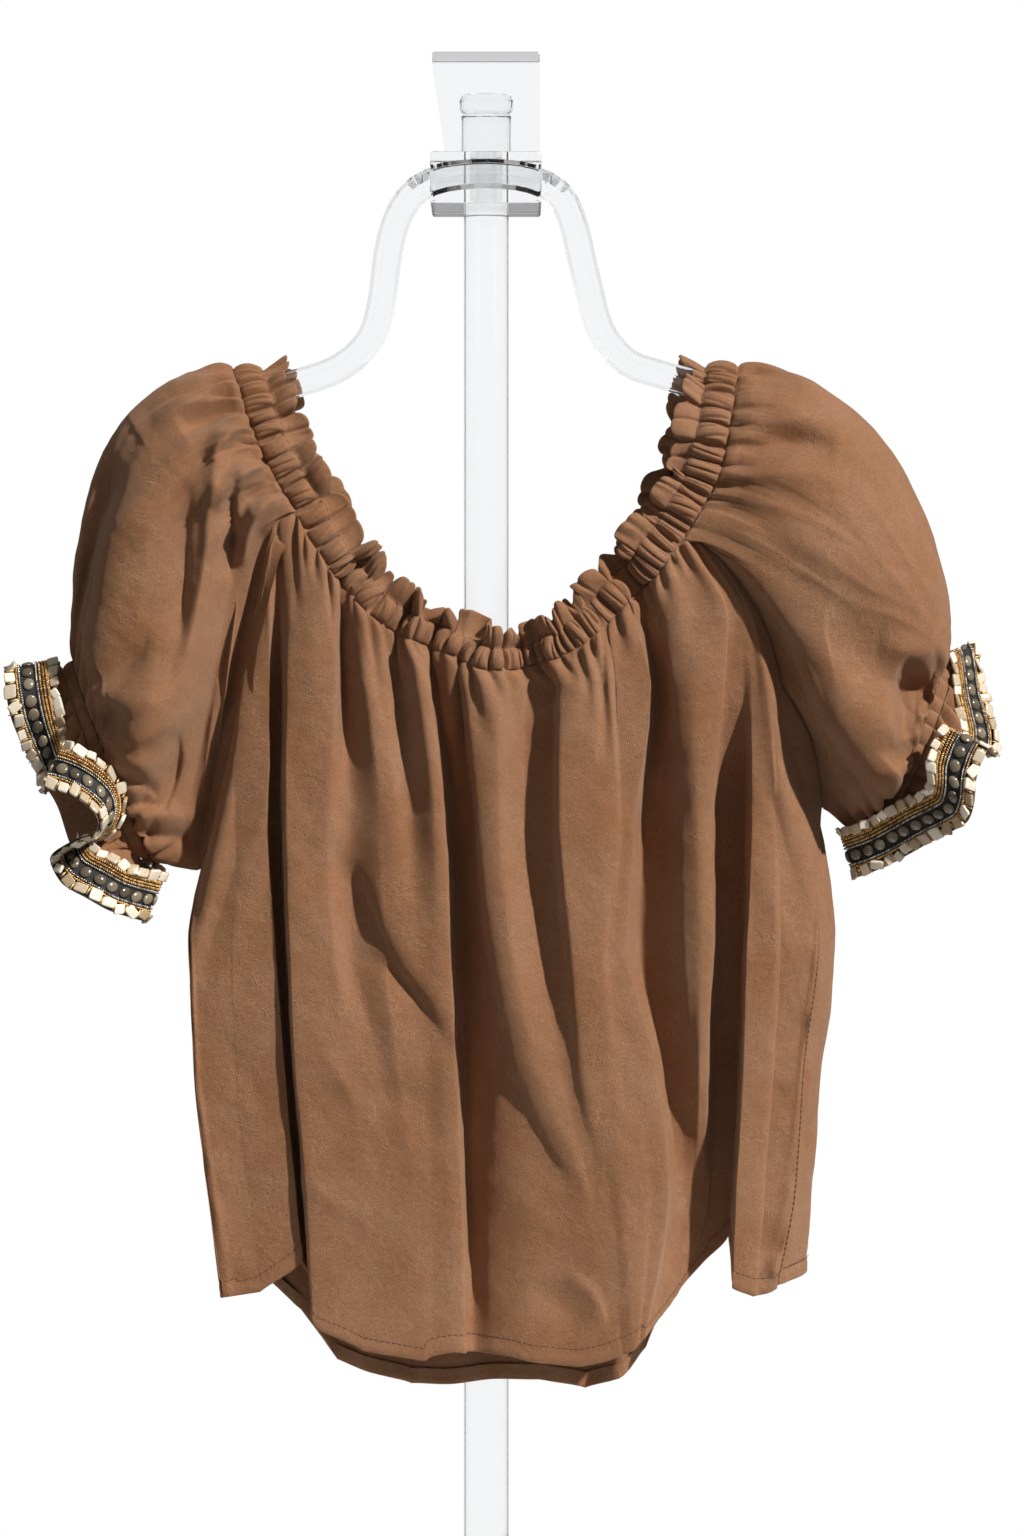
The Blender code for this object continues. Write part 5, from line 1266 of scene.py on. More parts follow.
def frill_rows(side, count):
    """The frill's lines round the cuff: elastic, start, the band's inner edge and the way across the band."""
    cuff = CUFFS[side]
    rows = np.array(FRILLS[side], float)
    rows = np.vstack([rows[-1], rows, rows[0], rows[1]])
    rows[0, 0] -= 360
    rows[-2:, 0] += 360
    fine = np.linspace(rows[1, 0], rows[1, 0] + 360, 1441)
    line = np.stack([ease(rows[:, 0], rows[:, c], fine) for c in (4, 5, 6)], 1)
    run = run_of(line)
    angle = np.interp(np.linspace(0, run[-1], count, endpoint=False), run, fine)
    inner = np.stack([ease(rows[:, 0], rows[:, c], angle) for c in (1, 2, 3)], 1)
    outer = np.stack([ease(rows[:, 0], rows[:, c], angle) for c in (4, 5, 6)], 1)
    inner, outer = smooth_ring(inner, 6), smooth_ring(outer, 6)
    start = cuff_ring(cuff, angle, ELASTIC_WIDTH, 2.0)
    return angle, cuff_ring(cuff, angle), start, inner, unit(outer - inner)


print("places on the frills:", [len(rows) for rows in FRILLS.values()])

# %% [markdown]
# ## Shirring
# Shirring is several rows of elastic thread that draw the cloth into fine puckers, about one for each 7 mm
# of elastic. The same beat carries on into the frill's pleats.

# %% Shirring round a cuff
FRILL_POINTS = 560
SHIRRING_SEED = {"left": 41, "right": 42}
BEATS = 24


def shirring(side, around):
    """The puckers' phase at lengths round the elastic, which grows by 2 pi for each pucker."""
    beat = np.cumsum(np.random.default_rng(SHIRRING_SEED[side]).uniform(0.6, 1.4, 40))
    beat = np.concatenate([[0], beat]) / beat[-1] * 2 * np.pi * BEATS
    return np.interp(around, np.linspace(0, around[-1] + 0.5, 41), beat)


def elastic_grid(ring_line, start, radial, pucker):
    rows = []
    for t in np.linspace(0, 1, 9):
        base = ring_line * (1 - t) + start * t
        rows.append(base + radial * (-1.2 + 2.0 * pucker * math.sin(math.pi * t) ** 0.5)[:, None])
    return np.stack(rows, 1)


print(BEATS, "beats round a cuff")

# %% [markdown]
# ## The frill itself
# Pleats are tight at the elastic and open out to the swing of the edge. The last 24 mm run straight on
# under the band, whose lines are kept beside the grid, because everything sewn on it is placed along them.

# %% Frills and cuffs
PLEAT_ROWS = 22


def frill_grid(start, inner, way, axis, radial, pucker, phase):
    rows = []
    for t in np.linspace(0, 1, PLEAT_ROWS):
        belly = 4 * t * (1 - t)
        base = start * (1 - t) + inner * t + axis * (1.5 * belly)
        pleat = (pucker - 0.5) * 5.6 * (1 - t) ** 0.7 * ramp(t, -0.05, 0.12)
        twist = 2.2 * np.sin(phase / 3.0 + 0.7) * belly
        rows.append(base + radial * (pleat + twist)[:, None])
    for t in np.linspace(0.06, 1, 14):
        rows.append(inner + way * (TRIM_WIDTH * t))
    return np.stack(rows, 1)


cuffs = {}
for side, sign in (("left", -1.0), ("right", 1.0)):
    angle, ring_line, start, inner, way = frill_rows(side, FRILL_POINTS)
    axis, middle = unit(CUFFS[side]["axis"]), np.array(CUFFS[side]["middle"])
    radial = unit(ring_line - middle - ((ring_line - middle) @ axis)[:, None] * axis)
    around = run_of(np.concatenate([start, start[:1]]))[:-1]
    phase = shirring(side, around)
    pucker = np.abs(np.sin(phase / 2)) ** 0.8
    ruffle = frill_grid(start, inner, way, axis, radial, pucker, phase)
    normal = grid_normals(ruffle, True) * sign
    if ((normal[:, 0] * radial).sum(1)).mean() < 0:
        normal = -normal
    elastic = elastic_grid(ring_line, start, radial, pucker)
    cuffs[side] = dict(elastic=elastic, frill=ruffle, inner=inner, way=way, normal=normal[:, PLEAT_ROWS + 6])
    print(side, "frill edge", round(run_of(ruffle[:, -1])[-1]), "mm, elastic", round(around[-1]), "mm")

# %% [markdown]
# ## Tools for materials
# A material is a small network of nodes. These helpers make a node with its values set, a noise in the
# object's own space, which stays put when the view changes, a ramp between two colours and a bit of
# arithmetic. So each finish below reads as a recipe.

# %% Material tools


def shader_of(name):
    material = bpy.data.materials.new(name)
    material.use_nodes = True
    tree = material.node_tree
    return material, tree, tree.nodes["Principled BSDF"]


def node(tree, kind, **values):
    made = tree.nodes.new(kind)
    for key, value in values.items():
        if key in made.inputs:
            made.inputs[key].default_value = value
        else:
            setattr(made, key, value)
    return made


def noise(tree, where, scale, detail=3.0, rough=0.55):
    made = node(tree, "ShaderNodeTexNoise", Scale=scale, Detail=detail, Roughness=rough)
    tree.links.new(where, made.inputs["Vector"])
    return made.outputs["Fac"]


def blend(tree, factor, low, high, between=(0, 1)):
    """A colour ramp from one colour to another, between two values of the factor."""
    made = tree.nodes.new("ShaderNodeValToRGB")
    for stop, colour, position in zip(made.color_ramp.elements, (low, high), between):
        stop.color, stop.position = (*colour, 1), position
    tree.links.new(factor, made.inputs["Fac"])
    return made


def math_node(tree, operation, a, b):
    made = tree.nodes.new("ShaderNodeMath")
    made.operation = operation
    for socket, value in zip(made.inputs, (a, b)):
        if isinstance(value, (int, float)):
            socket.default_value = value
        else:
            tree.links.new(value, socket)
    return made.outputs[0]


print("node helpers are ready")

# %% [markdown]
# ## The colour of the cloth
# The cloth is viscose with a peach-skin finish. Its colour lies in random patches, some warmer and some
# greyer and lighter: partly the nap's own uneven tone, partly painted sheen where the nap catches the light.
# A large noise gives the patches and a very fine one the speckle of single fibres, multiplied over it.

# %% Patchy colour and painted sheen
CLOTH = (0.262, 0.127, 0.063)
# Warmer patches, and greyer, lighter ones that are partly painted sheen
WARM_PATCH, SHEEN_PATCH = (0.92, 0.84, 0.74), (1.08, 1.14, 1.24)


def nap_tone_and_sheen(tree, place):
    # Random patches of the nap's own tone, with painted sheen in the greyer, lighter ones
    tone_patches = blend(tree, noise(tree, place, 22.0, 6.0, 0.66), [c * f for c, f in zip(CLOTH, WARM_PATCH)],
                 [c * f for c, f in zip(CLOTH, SHEEN_PATCH)], (0.33, 0.67))
    mix = node(tree, "ShaderNodeMix", data_type="RGBA", blend_type="MULTIPLY")
    mix.inputs[0].default_value = 0.5
    speckle = noise(tree, place, 900.0, 2.0, 0.7)
    grey = blend(tree, speckle, (0.62, 0.60, 0.58), (1.30, 1.30, 1.30), (0.3, 0.7))
    tree.links.new(tone_patches.outputs[0], mix.inputs[6])
    tree.links.new(grey.outputs[0], mix.inputs[7])
    return mix.outputs[2]


print("cloth colour", CLOTH)

# %% [markdown]
# ## Twill and crumple
# Peach-skin cloth keeps short, fine crinkles: lines where a noise crosses its middle value, shown only in
# patches and raised, with a painted highlight that makes them lighter. The weave is a fine twill that is
# only just seen, from a wave texture turned by 35 degrees. All go into one bump by weight, far too fine for
# geometry.

# %% Crinkles and twill
# Painted highlight: the lighter colour of the crinkle lines, where their ridges catch the light
CRINKLE_HIGHLIGHT = (0.46, 0.29, 0.17, 1)


def crinkles(tree, place):
    away = math_node(tree, "SUBTRACT", noise(tree, place, 95.0, 3.0, 0.55), 0.5)
    away = math_node(tree, "ABSOLUTE", away, 0.0)
    thin = math_node(tree, "SUBTRACT", 1.0, math_node(tree, "MULTIPLY", away, 34.0))
    line = math_node(tree, "MAXIMUM", thin, 0.0)
    patch = math_node(tree, "SUBTRACT", noise(tree, place, 60.0, 2.0, 0.5), 0.47)
    patch = math_node(tree, "MAXIMUM", math_node(tree, "MULTIPLY", patch, 6.0), 0.0)
    return math_node(tree, "MULTIPLY", line, math_node(tree, "MINIMUM", patch, 1.0))


def with_crinkle_highlight(tree, colour, crinkle):
    # The crinkle lines are mixed towards a lighter colour: a painted highlight on their ridges
    lift = node(tree, "ShaderNodeMix", data_type="RGBA", blend_type="MIX")
    tree.links.new(math_node(tree, "MULTIPLY", crinkle, 0.16), lift.inputs[0])
    tree.links.new(colour, lift.inputs[6])
    lift.inputs[7].default_value = CRINKLE_HIGHLIGHT
    return lift.outputs[2]


TWILL_SLANT = math.radians(35)
# What each layer adds to the height of the bump
CRUMPLE, CRINKLED, RIBS, GRAIN = 0.8, 0.14, 0.10, 0.16


def twill_ribs(tree, place):
    slant = node(tree, "ShaderNodeMapping")
    slant.inputs["Rotation"].default_value = (0, TWILL_SLANT, 0)
    tree.links.new(place, slant.inputs["Vector"])
    twill = node(tree, "ShaderNodeTexWave", Scale=380.0, Distortion=3.5, Detail=2.0)
    twill.inputs["Detail Scale"].default_value = 2.0
    tree.links.new(slant.outputs[0], twill.inputs["Vector"])
    return twill.outputs["Fac"]


def cloth_height(tree, place, crinkle):
    layers = [math_node(tree, "MULTIPLY", layer, share) for layer, share in (
        (noise(tree, place, 190.0, 6.0, 0.68), CRUMPLE), (crinkle, CRINKLED),
        (twill_ribs(tree, place), RIBS), (noise(tree, place, 1500.0, 2.0, 0.6), GRAIN))]
    return math_node(tree, "ADD", math_node(tree, "ADD", *layers[:2]), math_node(tree, "ADD", *layers[2:]))


print("twill at", round(math.degrees(TWILL_SLANT)), "degrees")

# %% [markdown]
# ## Peach-skin cloth
# A nap catches light at a grazing angle, which is what the shader's sheen is for. The cloth is rough and
# hardly shines. Its fixed values go straight on to the shader, where an exported model can read them.

# %% Cloth and thread


def bumped(tree, shader, height, strength, distance):
    bump = node(tree, "ShaderNodeBump", Strength=strength, Distance=distance)
    tree.links.new(height, bump.inputs["Height"])
    tree.links.new(bump.outputs[0], shader.inputs["Normal"])


def cloth_material(name):
    material, tree, shader = shader_of(name)
    place = tree.nodes.new("ShaderNodeTexCoord").outputs["Object"]
    crinkle = crinkles(tree, place)
    tree.links.new(with_crinkle_highlight(tree, nap_tone_and_sheen(tree, place), crinkle), shader.inputs["Base Color"])
    bumped(tree, shader, cloth_height(tree, place, crinkle), 0.9, 0.0016)
    shader.inputs["Roughness"].default_value = 0.86
    shader.inputs["Specular IOR Level"].default_value = 0.22
    shader.inputs["Sheen Weight"].default_value = 0.25
    shader.inputs["Sheen Roughness"].default_value = 0.45
    shader.inputs["Sheen Tint"].default_value = (0.95, 0.74, 0.58, 1)
    return material


def shaded_thread_material(name):
    material, tree, shader = shader_of(name)
    place = tree.nodes.new("ShaderNodeTexCoord").outputs["Object"]
    # Far darker than the cloth, so each stitch shows as a dark dash: painted shade of the stitch holes, on
    # real stitches
    strands = blend(tree, noise(tree, place, 2500.0), (0.03, 0.014, 0.008), (0.09, 0.045, 0.025))
    tree.links.new(strands.outputs[0], shader.inputs["Base Color"])
    shader.inputs["Roughness"].default_value = 0.7
    return material


cloth, thread_with_painted_shade = cloth_material("peach_skin_viscose"), shaded_thread_material("thread_dark_as_painted_shade")
print("cloth:", len(cloth.node_tree.nodes), "nodes")

# %% [markdown]
# ## Beads, stones and metal thread
# Mother-of-pearl, smoky stone, silver chain, gold thread and black net share one recipe: two colours, mixed
# by each copy's own tint and by a fine grain, and a worked surface. What differs is how rough, how metallic
# and how glazed each one is.

# %% Jewel materials


def jewel_material(name, low, high, rough, metal=0.0, coat=0.0, scale=700.0, bump_mm=0.05):
    """Two colours by bead and by grain, with a worked surface."""
    material, tree, shader = shader_of(name)
    place = tree.nodes.new("ShaderNodeTexCoord").outputs["Object"]
    tint = node(tree, "ShaderNodeAttribute", attribute_name="tint")
    grain = noise(tree, place, scale, 3.0, 0.6)
    factor = math_node(tree, "ADD", math_node(tree, "MULTIPLY", tint.outputs["Fac"], 0.65),
                       math_node(tree, "MULTIPLY", grain, 0.35))
    colour = blend(tree, factor, low, high, (0.15, 0.85))
    tree.links.new(colour.outputs[0], shader.inputs["Base Color"])
    bumped(tree, shader, grain, 0.6, bump_mm * MM)
    shader.inputs["Roughness"].default_value = rough
    shader.inputs["Metallic"].default_value = metal
    shader.inputs["Coat Weight"].default_value = coat
    shader.inputs["Coat Roughness"].default_value = 0.12
    return material


pearl = jewel_material("mother_of_pearl", (0.40, 0.28, 0.155), (0.95, 0.88, 0.74), 0.22, coat=0.6)
gold = jewel_material("gold_thread", (0.30, 0.13, 0.035), (0.95, 0.62, 0.26), 0.40, metal=0.65, scale=1500.0)
silver = jewel_material("silver_chain", (0.16, 0.15, 0.13), (0.90, 0.88, 0.82), 0.30, metal=0.75,
                        scale=1300.0)
stone = jewel_material("smoky_stone", (0.075, 0.058, 0.036), (0.26, 0.21, 0.14), 0.16, coat=0.7, scale=350.0)
mesh_cloth = jewel_material("black_mesh", (0.010, 0.009, 0.008), (0.055, 0.048, 0.040), 0.75, scale=1600.0,
                            bump_mm=0.2)

print("five jewel finishes")

# %% [markdown]
# ## The garment's pieces
# Each grid becomes its own piece, and takes over from the frame's solid for the same cloth. Channel and
# frill of the neck are one folded strip, so one piece takes over from both solids.

# %% Cloth pieces
blouse_front = sheet_mesh("blouse_front", front_dressed, cloth)
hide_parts("front_panel")
blouse_back = sheet_mesh("blouse_back", back_dressed, cloth)
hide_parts("back_panel")
neck_piece = sheet_mesh("neck_strip", neck_strip, cloth, closed=True)
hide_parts("neck_channel", "neck_frill")
sheets = {"blouse_front": blouse_front, "blouse_back": blouse_back, "neck_strip": neck_piece}
for side in ("left", "right"):
    puff = sheet_mesh(f"puff_sleeve_{side}", sleeves[side], cloth, closed=True)
    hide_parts(f"sleeve_{side}")
    elastic = sheet_mesh(f"shirred_elastic_{side}", cuffs[side]["elastic"], cloth, closed=True)
    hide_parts(f"cuff_elastic_{side}")
    ruffle = sheet_mesh(f"wrist_frill_{side}", cuffs[side]["frill"], cloth, closed=True)
    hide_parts(f"cuff_frill_{side}")
    sheets.update({puff.name: puff, elastic.name: elastic, ruffle.name: ruffle})

print(len(sheets), "sheets of cloth")

# %% [markdown]
# ## Copies of a small shape
# Stitches and beads come by the hundred. Geometry nodes could set them out, but here each kind is one joined
# mesh: a small shape's points are repeated at every place, turned to the three directions there.

# %% Copies along a line


def small_shape(kind, size, bevel=0.0, segments=2):
    """Points and faces of a bevelled block or a rounded dome, as arrays to copy from."""
    bm = bmesh.new()
    if kind == "block":
        bmesh.ops.create_cube(bm, size=1.0)
    else:
        bmesh.ops.create_uvsphere(bm, u_segments=12, v_segments=7, radius=0.5)
    bmesh.ops.scale(bm, vec=size, verts=bm.verts)
    if bevel:
        bmesh.ops.bevel(bm, geom=list(bm.edges), offset=bevel, segments=segments, affect="EDGES", profile=0.5)
    bm.verts.ensure_lookup_table()
    points = np.array([v.co[:] for v in bm.verts])
    faces = [[v.index for v in f.verts] for f in bm.faces]
    bm.free()
    return points, faces


def copies(shape, origin, along, across, face, stretch=None):
    """The shape at each origin, its x along, its y across and its z out of the face."""
    points, faces = shape
    many = len(origin)
    frame_axes = np.stack([along, across, face], 1)
    scaled = points[None] * (stretch[:, None] if stretch is not None else 1.0)
    placed = np.einsum("nvk,nkd->nvd", np.broadcast_to(scaled, (many, *points.shape)), frame_axes)
    placed = placed + origin[:, None]
    shift = len(points)
    all_faces = [[i + shift * n for i in f] for n in range(many) for f in faces]
    return placed.reshape(-1, 3), all_faces


def joined(name, batches, material):
    """Several batches of (points, faces, tint of each copy) as one object."""
    points, faces, tints, start = [], [], [], 0
    for (p, f), tint in batches:
        points.append(p)
        faces += [[i + start for i in face] for face in f]
        tints.append(np.repeat(tint, len(p) // len(tint)))
        start += len(p)
    return plain_mesh(name, np.concatenate(points), faces, material, np.concatenate(tints))


SQUARE = small_shape("block", (1, 1, 1), 0.16, 2)
DOME = small_shape("dome", (1, 1, 1))
print("faces of a bead:", len(SQUARE[1]), "and of a stone:", len(DOME[1]))

# %% [markdown]
# ## Lines of stitches
# A stitch is a short bar of thread that sinks into the cloth at both ends. Stitches show along the hem,
# down the front side seam and on both edges of the neck channel and of the cuffs' elastic. All are one
# thread, painted very dark as the shade of the stitch holes, so they are one piece.

# %% Stitches
STITCH, STITCH_GAP = 2.3, 0.9
bar = small_shape("block", (STITCH, 0.42, 0.34), 0.12, 1)


def stitch_line(line, face, closed=False, lift=0.12):
    """Stitches along a line of points whose faces are given."""
    line = np.concatenate([line, line[:1]]) if closed else line
    face = np.concatenate([face, face[:1]]) if closed else face
    run = run_of(line)
    at = np.arange(0.5, run[-1] - STITCH, STITCH + STITCH_GAP)
    start, end = at, at + STITCH

    def pick(values, where):
        return np.stack([np.interp(where, run, values[:, k]) for k in range(3)], 1)

    a, b, out = pick(line, start), pick(line, end), unit(pick(face, (start + end) / 2))
    along = unit(b - a)
    side_way = unit(np.cross(out, along))
    return copies(bar, (a + b) / 2 + out * lift, along, side_way, unit(np.cross(along, side_way)))


def row_at(grid, height):
    """The line over a hemmed panel at a height above its edge, and its faces."""
    body = grid[:, 1:-6]
    above = np.linalg.norm(body - body[:, -1:], axis=2)
    j = np.abs(above - height).argmin(1)
    face = grid_normals(body, False)
    i = np.arange(len(body))
    return body[i, j], face[i, j]


front_line, front_face = row_at(front_dressed, HEM)
back_line, back_face = row_at(back_dressed, HEM)
side_line = front_dressed[-1, 4:-8:2] + np.array([0.0, -0.5, 0.0])
stitches = [
    stitch_line(front_line, -front_face),
    stitch_line(back_line, -back_face),
    stitch_line(side_line, np.tile([[0.5, -0.85, 0.0]], (len(side_line), 1))),
    stitch_line(back_line, back_face, lift=1.0),
    stitch_line(channel[:, 0], facing, True, 0.2),
    stitch_line(channel[:, -1], facing, True, 0.2),
]
for side in ("left", "right"):
    ring_row = cuffs[side]["elastic"]
    out = grid_normals(ring_row, True)
    out *= np.sign((out[:, 4] * (ring_row[:, 4] - np.array(CUFFS[side]["middle"]))).sum(1).mean())
    stitches.append(stitch_line(ring_row[:, 1], out[:, 1], True, 0.2))
    stitches.append(stitch_line(ring_row[:, -1], out[:, -1], True, 0.2))
stitch_batches = [(s, np.zeros(len(s[0]) // len(bar[0]))) for s in stitches]
thread = joined("hem_and_neck_stitches", stitch_batches, thread_with_painted_shade)
print("stitches:", len(thread.data.polygons) // len(bar[1]))

# %% [markdown]
# ## Places on the jewelled band
# The band follows the frill's swinging edge. Everything sewn on it is placed by how far round it is, how
# far off the inner edge and how high above the face. `band_at` turns these into points, with the three
# directions there.

# %% Places on the band
BAND_MIDDLE = 12.0


def band_at(side, run_at, off, lift):
    """Points on the band: at lengths round it, off its inner edge and above its face; and the three ways."""
    data = cuffs[side]
    inner, way, face = data["inner"], data["way"], data["normal"]
    line = inner + way * BAND_MIDDLE
    closed_line = np.concatenate([line, line[:1]])
    run = run_of(closed_line)

    def pick(values):
        values = np.concatenate([values, values[:1]])
        return np.stack([np.interp(run_at % run[-1], run, values[:, k]) for k in range(3)], 1)

    way_at, face_at = unit(pick(way)), unit(pick(face))
    ahead = unit(pick(np.roll(line, -2, 0) - np.roll(line, 2, 0)))
    face_at = unit(np.cross(ahead, way_at)) * np.sign((np.cross(ahead, way_at) * face_at).sum(1))[:, None]
    spot = pick(inner) + way_at * np.asarray(off).reshape(-1, 1) + face_at * np.asarray(lift).reshape(-1, 1)
    return spot, ahead, way_at, face_at, run[-1]


band_long = {side: band_at(side, np.array([0.0]), 0, 0)[4] for side in ("left", "right")}
print("bands:", {side: round(total) for side, total in band_long.items()}, "mm")

# %% [markdown]
# ## Cords and chains
# A gold cord or a silver chain is a row of small slanted links, laid one after another. Each is a low,
# faceted ball, stretched along its slant. A twisted curve would be smoother, but it wouldn't sparkle link by
# link.

# %% Cords


def small_ball():
    bm = bmesh.new()
    bmesh.ops.create_icosphere(bm, subdivisions=1, radius=0.5)
    ball = np.array([v.co[:] for v in bm.verts]), [[v.index for v in f.verts] for f in bm.faces]
    bm.free()
    return ball


LINK = small_ball()


def cord(side, off, lift, radius, pitch, step):
    """A twisted cord along the band, as small slanted links laid one after another."""
    at = np.arange(0, band_long[side], step)
    spot, ahead, way_at, face_at, _ = band_at(side, at, off, lift)
    slanted = unit(ahead * math.cos(pitch) + way_at * math.sin(pitch))
    cross = unit(np.cross(face_at, slanted))
    size = np.tile(np.array([[radius * 2.6, radius * 1.15, radius * 1.5]]), (len(at), 1))
    return copies(LINK, spot, slanted, cross, face_at, size)


def tinted(batch, shape, pick):
    """A batch of copies and a tint for each of them."""
    return batch, pick.uniform(0, 1, len(batch[0]) // len(shape[0]))


print("a link has", len(LINK[1]), "faces")

# %% [markdown]
# ## Square beads
# Both edges of the band carry square mother-of-pearl beads that hang over them a little. They are cut and
# sewn by hand, so each has its own length, place and tilt. A gold stitch holds each bead at its end, and a
# fine gold line runs along outside them.

# %% Square beads
# Off the band's inner edge, how wide the beads are and how far out of line they sit
BEAD_ROWS = ((-3.2, 5.6, 0.5), (20.8, 6.6, 1.0))


def bead_places(total, pick):
    at, lengths, where = [], [], 0.0
    while where < total - 6:
        length = pick.uniform(5.4, 8.8)
        at.append(where + length / 2)
        lengths.append(length - 0.7)
        where += length
    return np.array(at), np.array(lengths)


def square_beads(side, row, pick):
    """One row of beads, and the gold stitches and the gold line that go with it."""
    off, wide, overhang = row
    at, lengths = bead_places(band_long[side], pick)
    many = len(at)
    spot, ahead, way_at, face_at, _ = band_at(side, at, off + pick.normal(0, 0.7, many) * overhang,
                                              1.9 + pick.uniform(-0.5, 0.5, many))
    tilt = pick.normal(0, 0.24, (many, 3))
    ahead2 = unit(ahead + way_at * tilt[:, :1] + face_at * tilt[:, 1:2])
    way2 = unit(way_at - ahead * tilt[:, :1] + face_at * tilt[:, 2:3] * 1.4)
    face2 = unit(np.cross(ahead2, way2)) * np.sign((np.cross(ahead2, way2) * face_at).sum(1))[:, None]
    size = np.stack([lengths, wide * pick.uniform(0.78, 1.15, many), pick.uniform(1.4, 2.3, many)], 1)
    beads = tinted(copies(SQUARE, spot, ahead2, way2, face2, size), SQUARE, pick)
    held = off + pick.normal(0, 0.4, many)
    spot, ahead, way_at, face_at, _ = band_at(side, at + lengths / 2 + 0.3, held, 2.0)
    size = np.stack([wide * pick.uniform(0.8, 1.2, many), np.full(many, 1.1), np.full(many, 1.9)], 1)
    stitches = tinted(copies(LINK, spot, way_at, ahead, face_at, size), LINK, pick)
    outside = off + math.copysign(wide / 2 + 0.1, BAND_MIDDLE - 2 - off)
    edge = band_at(side, np.arange(0, band_long[side], 1.3), outside, 1.7)
    size = np.tile(np.array([[1.9, 0.9, 1.0]]), (len(edge[0]), 1))
    return beads, [stitches, tinted(copies(LINK, *edge[:4], size), LINK, pick)]


print(len(BEAD_ROWS), "rows of beads")

# %% [markdown]
# ## Smoky stones and the net
# Down the middle of the band lies a row of domed smoky stones, all nearly round and nearly touching, on a
# dark net ribbon. The ribbon is one closed sheet round the cuff, folded thin over both edges of the frill.

# %% Stones and net
STONE_STEP, STONE_LINE = 8.2, 11.0
# The ribbon's section: off the band's inner edge, and above its face
RIBBON_SECTION = ((0.6, 0.3), (0.8, 0.9), (6, 1.0), (12, 1.05), (18, 1.0), (22.6, 0.9), (23.2, 0.5),
                  (23.0, 0.2), (12, 0.2), (1.0, 0.2))


def net_ribbon(side):
    at = np.linspace(0, band_long[side], 400, endpoint=False)
    ribbon = np.stack([band_at(side, at, off, lift)[0] for off, lift in RIBBON_SECTION], 1)
    net = sheet_mesh(f"net_ribbon_{side}", ribbon, mesh_cloth, closed=True)
    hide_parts(f"trim_{side}")
    return net


def smoky_stones(side, pick):
    many = int(band_long[side] / STONE_STEP)
    at = np.linspace(0, band_long[side], many, endpoint=False) + pick.uniform(-0.4, 0.4, many)
    spot, ahead, way_at, face_at, _ = band_at(side, at, STONE_LINE + pick.normal(0, 0.25, many), 1.5)
    size = [pick.uniform(6.6, 7.4, many), pick.uniform(6.4, 7.2, many), pick.uniform(2.6, 3.2, many)]
    batch = tinted(copies(DOME, spot, ahead, way_at, face_at, np.stack(size, 1)), DOME, pick)
    return joined(f"smoky_stones_{side}", [batch], stone)


print("stones lie", STONE_STEP, "mm apart")

# %% [markdown]
# ## Both bands
# Between stones and beads run two silver chains, and gold cords twisted to the left and to the right. Each
# kind is one piece a side. The random order is fixed: beads, stones, chains, cords.

# %% Bands
SILVER_LINES = (6.2, 15.8)
# Gold cords: off the inner edge, and the slant of their links
GOLD_LINES = ((0.6, 0.8), (2.4, -0.8), (4.3, 0.8), (17.4, -0.8))
BAND_SEED = {"left": 51, "right": 52}
for side in ("left", "right"):
    pick = np.random.default_rng(BAND_SEED[side])
    net = net_ribbon(side)
    bead_batches, gold_batches = [], []
    for row in BEAD_ROWS:
        beads, gold_work = square_beads(side, row, pick)
        bead_batches.append(beads)
        gold_batches += gold_work
    beads = joined(f"pearl_beads_{side}", bead_batches, pearl)
    stones = smoky_stones(side, pick)
    silver_batches = [tinted(cord(side, off, 1.9, 0.75, 0.7, 1.25), LINK, pick) for off in SILVER_LINES]
    gold_batches += [tinted(cord(side, off, 1.7, 0.85, slant, 1.35), LINK, pick) for off, slant in GOLD_LINES]
    chains = joined(f"silver_chains_{side}", silver_batches, silver)
    cords = joined(f"gold_cords_{side}", gold_batches, gold)
    print(side, "beads:", [len(batch[1]) for batch in bead_batches])

# %% [markdown]
# ## The stand
# The stand is clear acrylic, so all that shows of it is its edges and what it bends. The frame's solids have
# the right shape already and only take a better material, with a faint haze and fine scratches. The sign
# plate's lip takes a darker copy of it, a painted shade on that edge.

# %% Acrylic


def acrylic(name, tint):
    material, tree, shader = shader_of(name)
    place = tree.nodes.new("ShaderNodeTexCoord").outputs["Object"]
    haze = noise(tree, place, 60.0, 3.0)
    colour = blend(tree, haze, tint, [min(1.0, c * 1.015) for c in tint])
    tree.links.new(colour.outputs[0], shader.inputs["Base Color"])
    scratches = node(tree, "ShaderNodeMapRange")
    scratches.inputs["To Min"].default_value, scratches.inputs["To Max"].default_value = 0.02, 0.09
    tree.links.new(noise(tree, place, 400.0, 4.0), scratches.inputs["Value"])
    tree.links.new(scratches.outputs[0], shader.inputs["Roughness"])
    shader.inputs["Transmission Weight"].default_value = 1.0
    shader.inputs["IOR"].default_value = 1.49
    return material


clear = acrylic("clear_acrylic", (0.925, 0.932, 0.938))
# A darker copy of the clear acrylic: painted shade for the sign plate's lip
acrylic_edge_shade = acrylic("acrylic_edge_painted_shade", (0.62, 0.62, 0.63))
STAND = ("base_plate", "post", "post_head", "post_cap", "clamp_block", "hanger_tube", "sign_plate",
         "sign_plate_lip")
for name in STAND:
    for slot_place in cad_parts[name].material_slots:
        slot_place.material = acrylic_edge_shade if name == "sign_plate_lip" else clear
print(len(STAND), "clear pieces of the stand")

# %% [markdown]
# ## The area of each sheet
# A gathered garment is cut much wider than it hangs. The area printed is that of what shows of each sheet,
# and it is less than a rectangle's where a neck or an armhole is cut out of it.

# %% Sheets
for name, piece in sheets.items():
    print(name, "area", round(area_of(piece), 4), "m2")
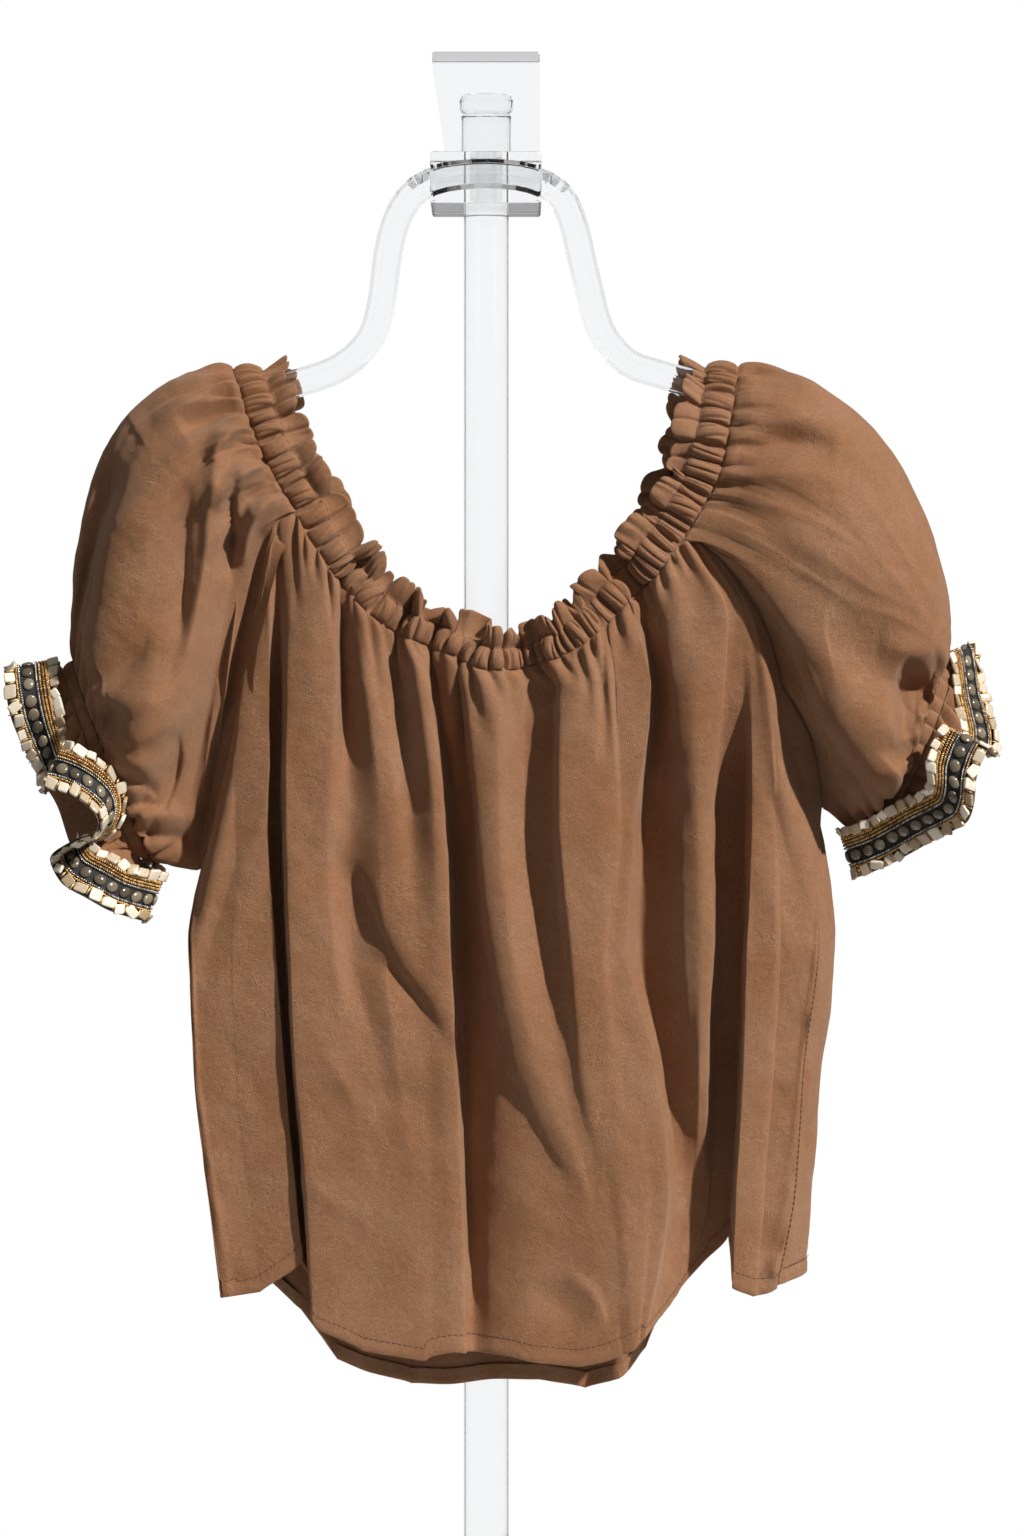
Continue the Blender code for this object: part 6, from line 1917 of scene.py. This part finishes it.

# %% [markdown]
# ## Floor
# A plain pale disc stands for the shop floor. It only catches a soft shadow below the base plate, so it has
# no detail, and it doesn't belong to the part.

# %% Floor
FLOOR_RADIUS, FLOOR_DROP = 0.37, 0.0005      # metres, just below the base plate
bm = bmesh.new()
bmesh.ops.create_circle(bm, cap_ends=True, segments=96, radius=FLOOR_RADIUS)
floor_mesh = bpy.data.meshes.new("floor")
bm.to_mesh(floor_mesh)
bm.free()
floor = bpy.data.objects.new("floor", floor_mesh)
floor.location.z = -FLOOR_DROP
bpy.context.scene.collection.objects.link(floor)
floor_paint, tree, shader = shader_of("pale_floor")
shader.inputs["Base Color"].default_value = (0.92, 0.92, 0.92, 1)
shader.inputs["Roughness"].default_value = 0.8
floor_mesh.materials.append(floor_paint)
print("floor", 2 * FLOOR_RADIUS, "m across")

# %% [markdown]
# ## Soft white light
# Soft white light comes from all round. What the camera sees straight, or through the clear stand, is plain
# white, but what lights the cloth is much weaker, so that the lamp can draw its shadows. A light path node
# tells the two apart.

# %% Soft light
SOFT = 0.24
world = bpy.data.worlds.new("soft_white")
bpy.context.scene.world = world
world.use_nodes = True
tree = world.node_tree
tree.nodes.clear()
out = tree.nodes.new("ShaderNodeOutputWorld")
seen = node(tree, "ShaderNodeBackground", Color=(1, 1, 1, 1), Strength=1.0)
lights = node(tree, "ShaderNodeBackground", Color=(1, 1, 1, 1), Strength=SOFT)
path = tree.nodes.new("ShaderNodeLightPath")
either = math_node(tree, "MAXIMUM", path.outputs["Is Camera Ray"], path.outputs["Is Transmission Ray"])
mix = tree.nodes.new("ShaderNodeMixShader")
tree.links.new(either, mix.inputs[0])
tree.links.new(lights.outputs[0], mix.inputs[1])
tree.links.new(seen.outputs[0], mix.inputs[2])
tree.links.new(mix.outputs[0], out.inputs[0])
print("soft light", SOFT)

# %% [markdown]
# ## The lamp
# One crisp lamp from the upper right in front draws the folds' shadows. It is a sun, so its shadows are
# parallel, and its small angle keeps their edges sharp but not hard.

# %% Lamp
TO_LIGHT = (0.60, -0.54, 0.58)
key = bpy.data.lights.new("key", "SUN")
key.energy, key.angle = 4.95, math.radians(2.0)
key.color = (1.0, 0.985, 0.96)
key_object = bpy.data.objects.new("key", key)
bpy.context.scene.collection.objects.link(key_object)
way = unit(TO_LIGHT)
key_object.rotation_euler = (math.acos(way[2]), 0, math.atan2(way[0], -way[1]))
print("lamp at", np.degrees(key_object.rotation_euler).round(), "degrees")

# %% [markdown]
# ## Camera
# The camera stands four metres in front, level with the cuffs, with a long lens, so there is almost no
# perspective. The plain view transform keeps white white and the cloth's colour as it was mixed.

# %% Camera
camera_data = bpy.data.cameras.new("camera")
camera_data.lens, camera_data.sensor_width = 167.4, 36.0
camera = bpy.data.objects.new("camera", camera_data)
camera.location = (0.0146, -4.062, 0.477)
camera.rotation_euler = (math.radians(90), 0, 0)
camera_data.clip_end = 50
bpy.context.scene.collection.objects.link(camera)
bpy.context.scene.camera = camera
bpy.context.scene.view_settings.view_transform = "Standard"
print("camera at", np.round(camera.location, 3))
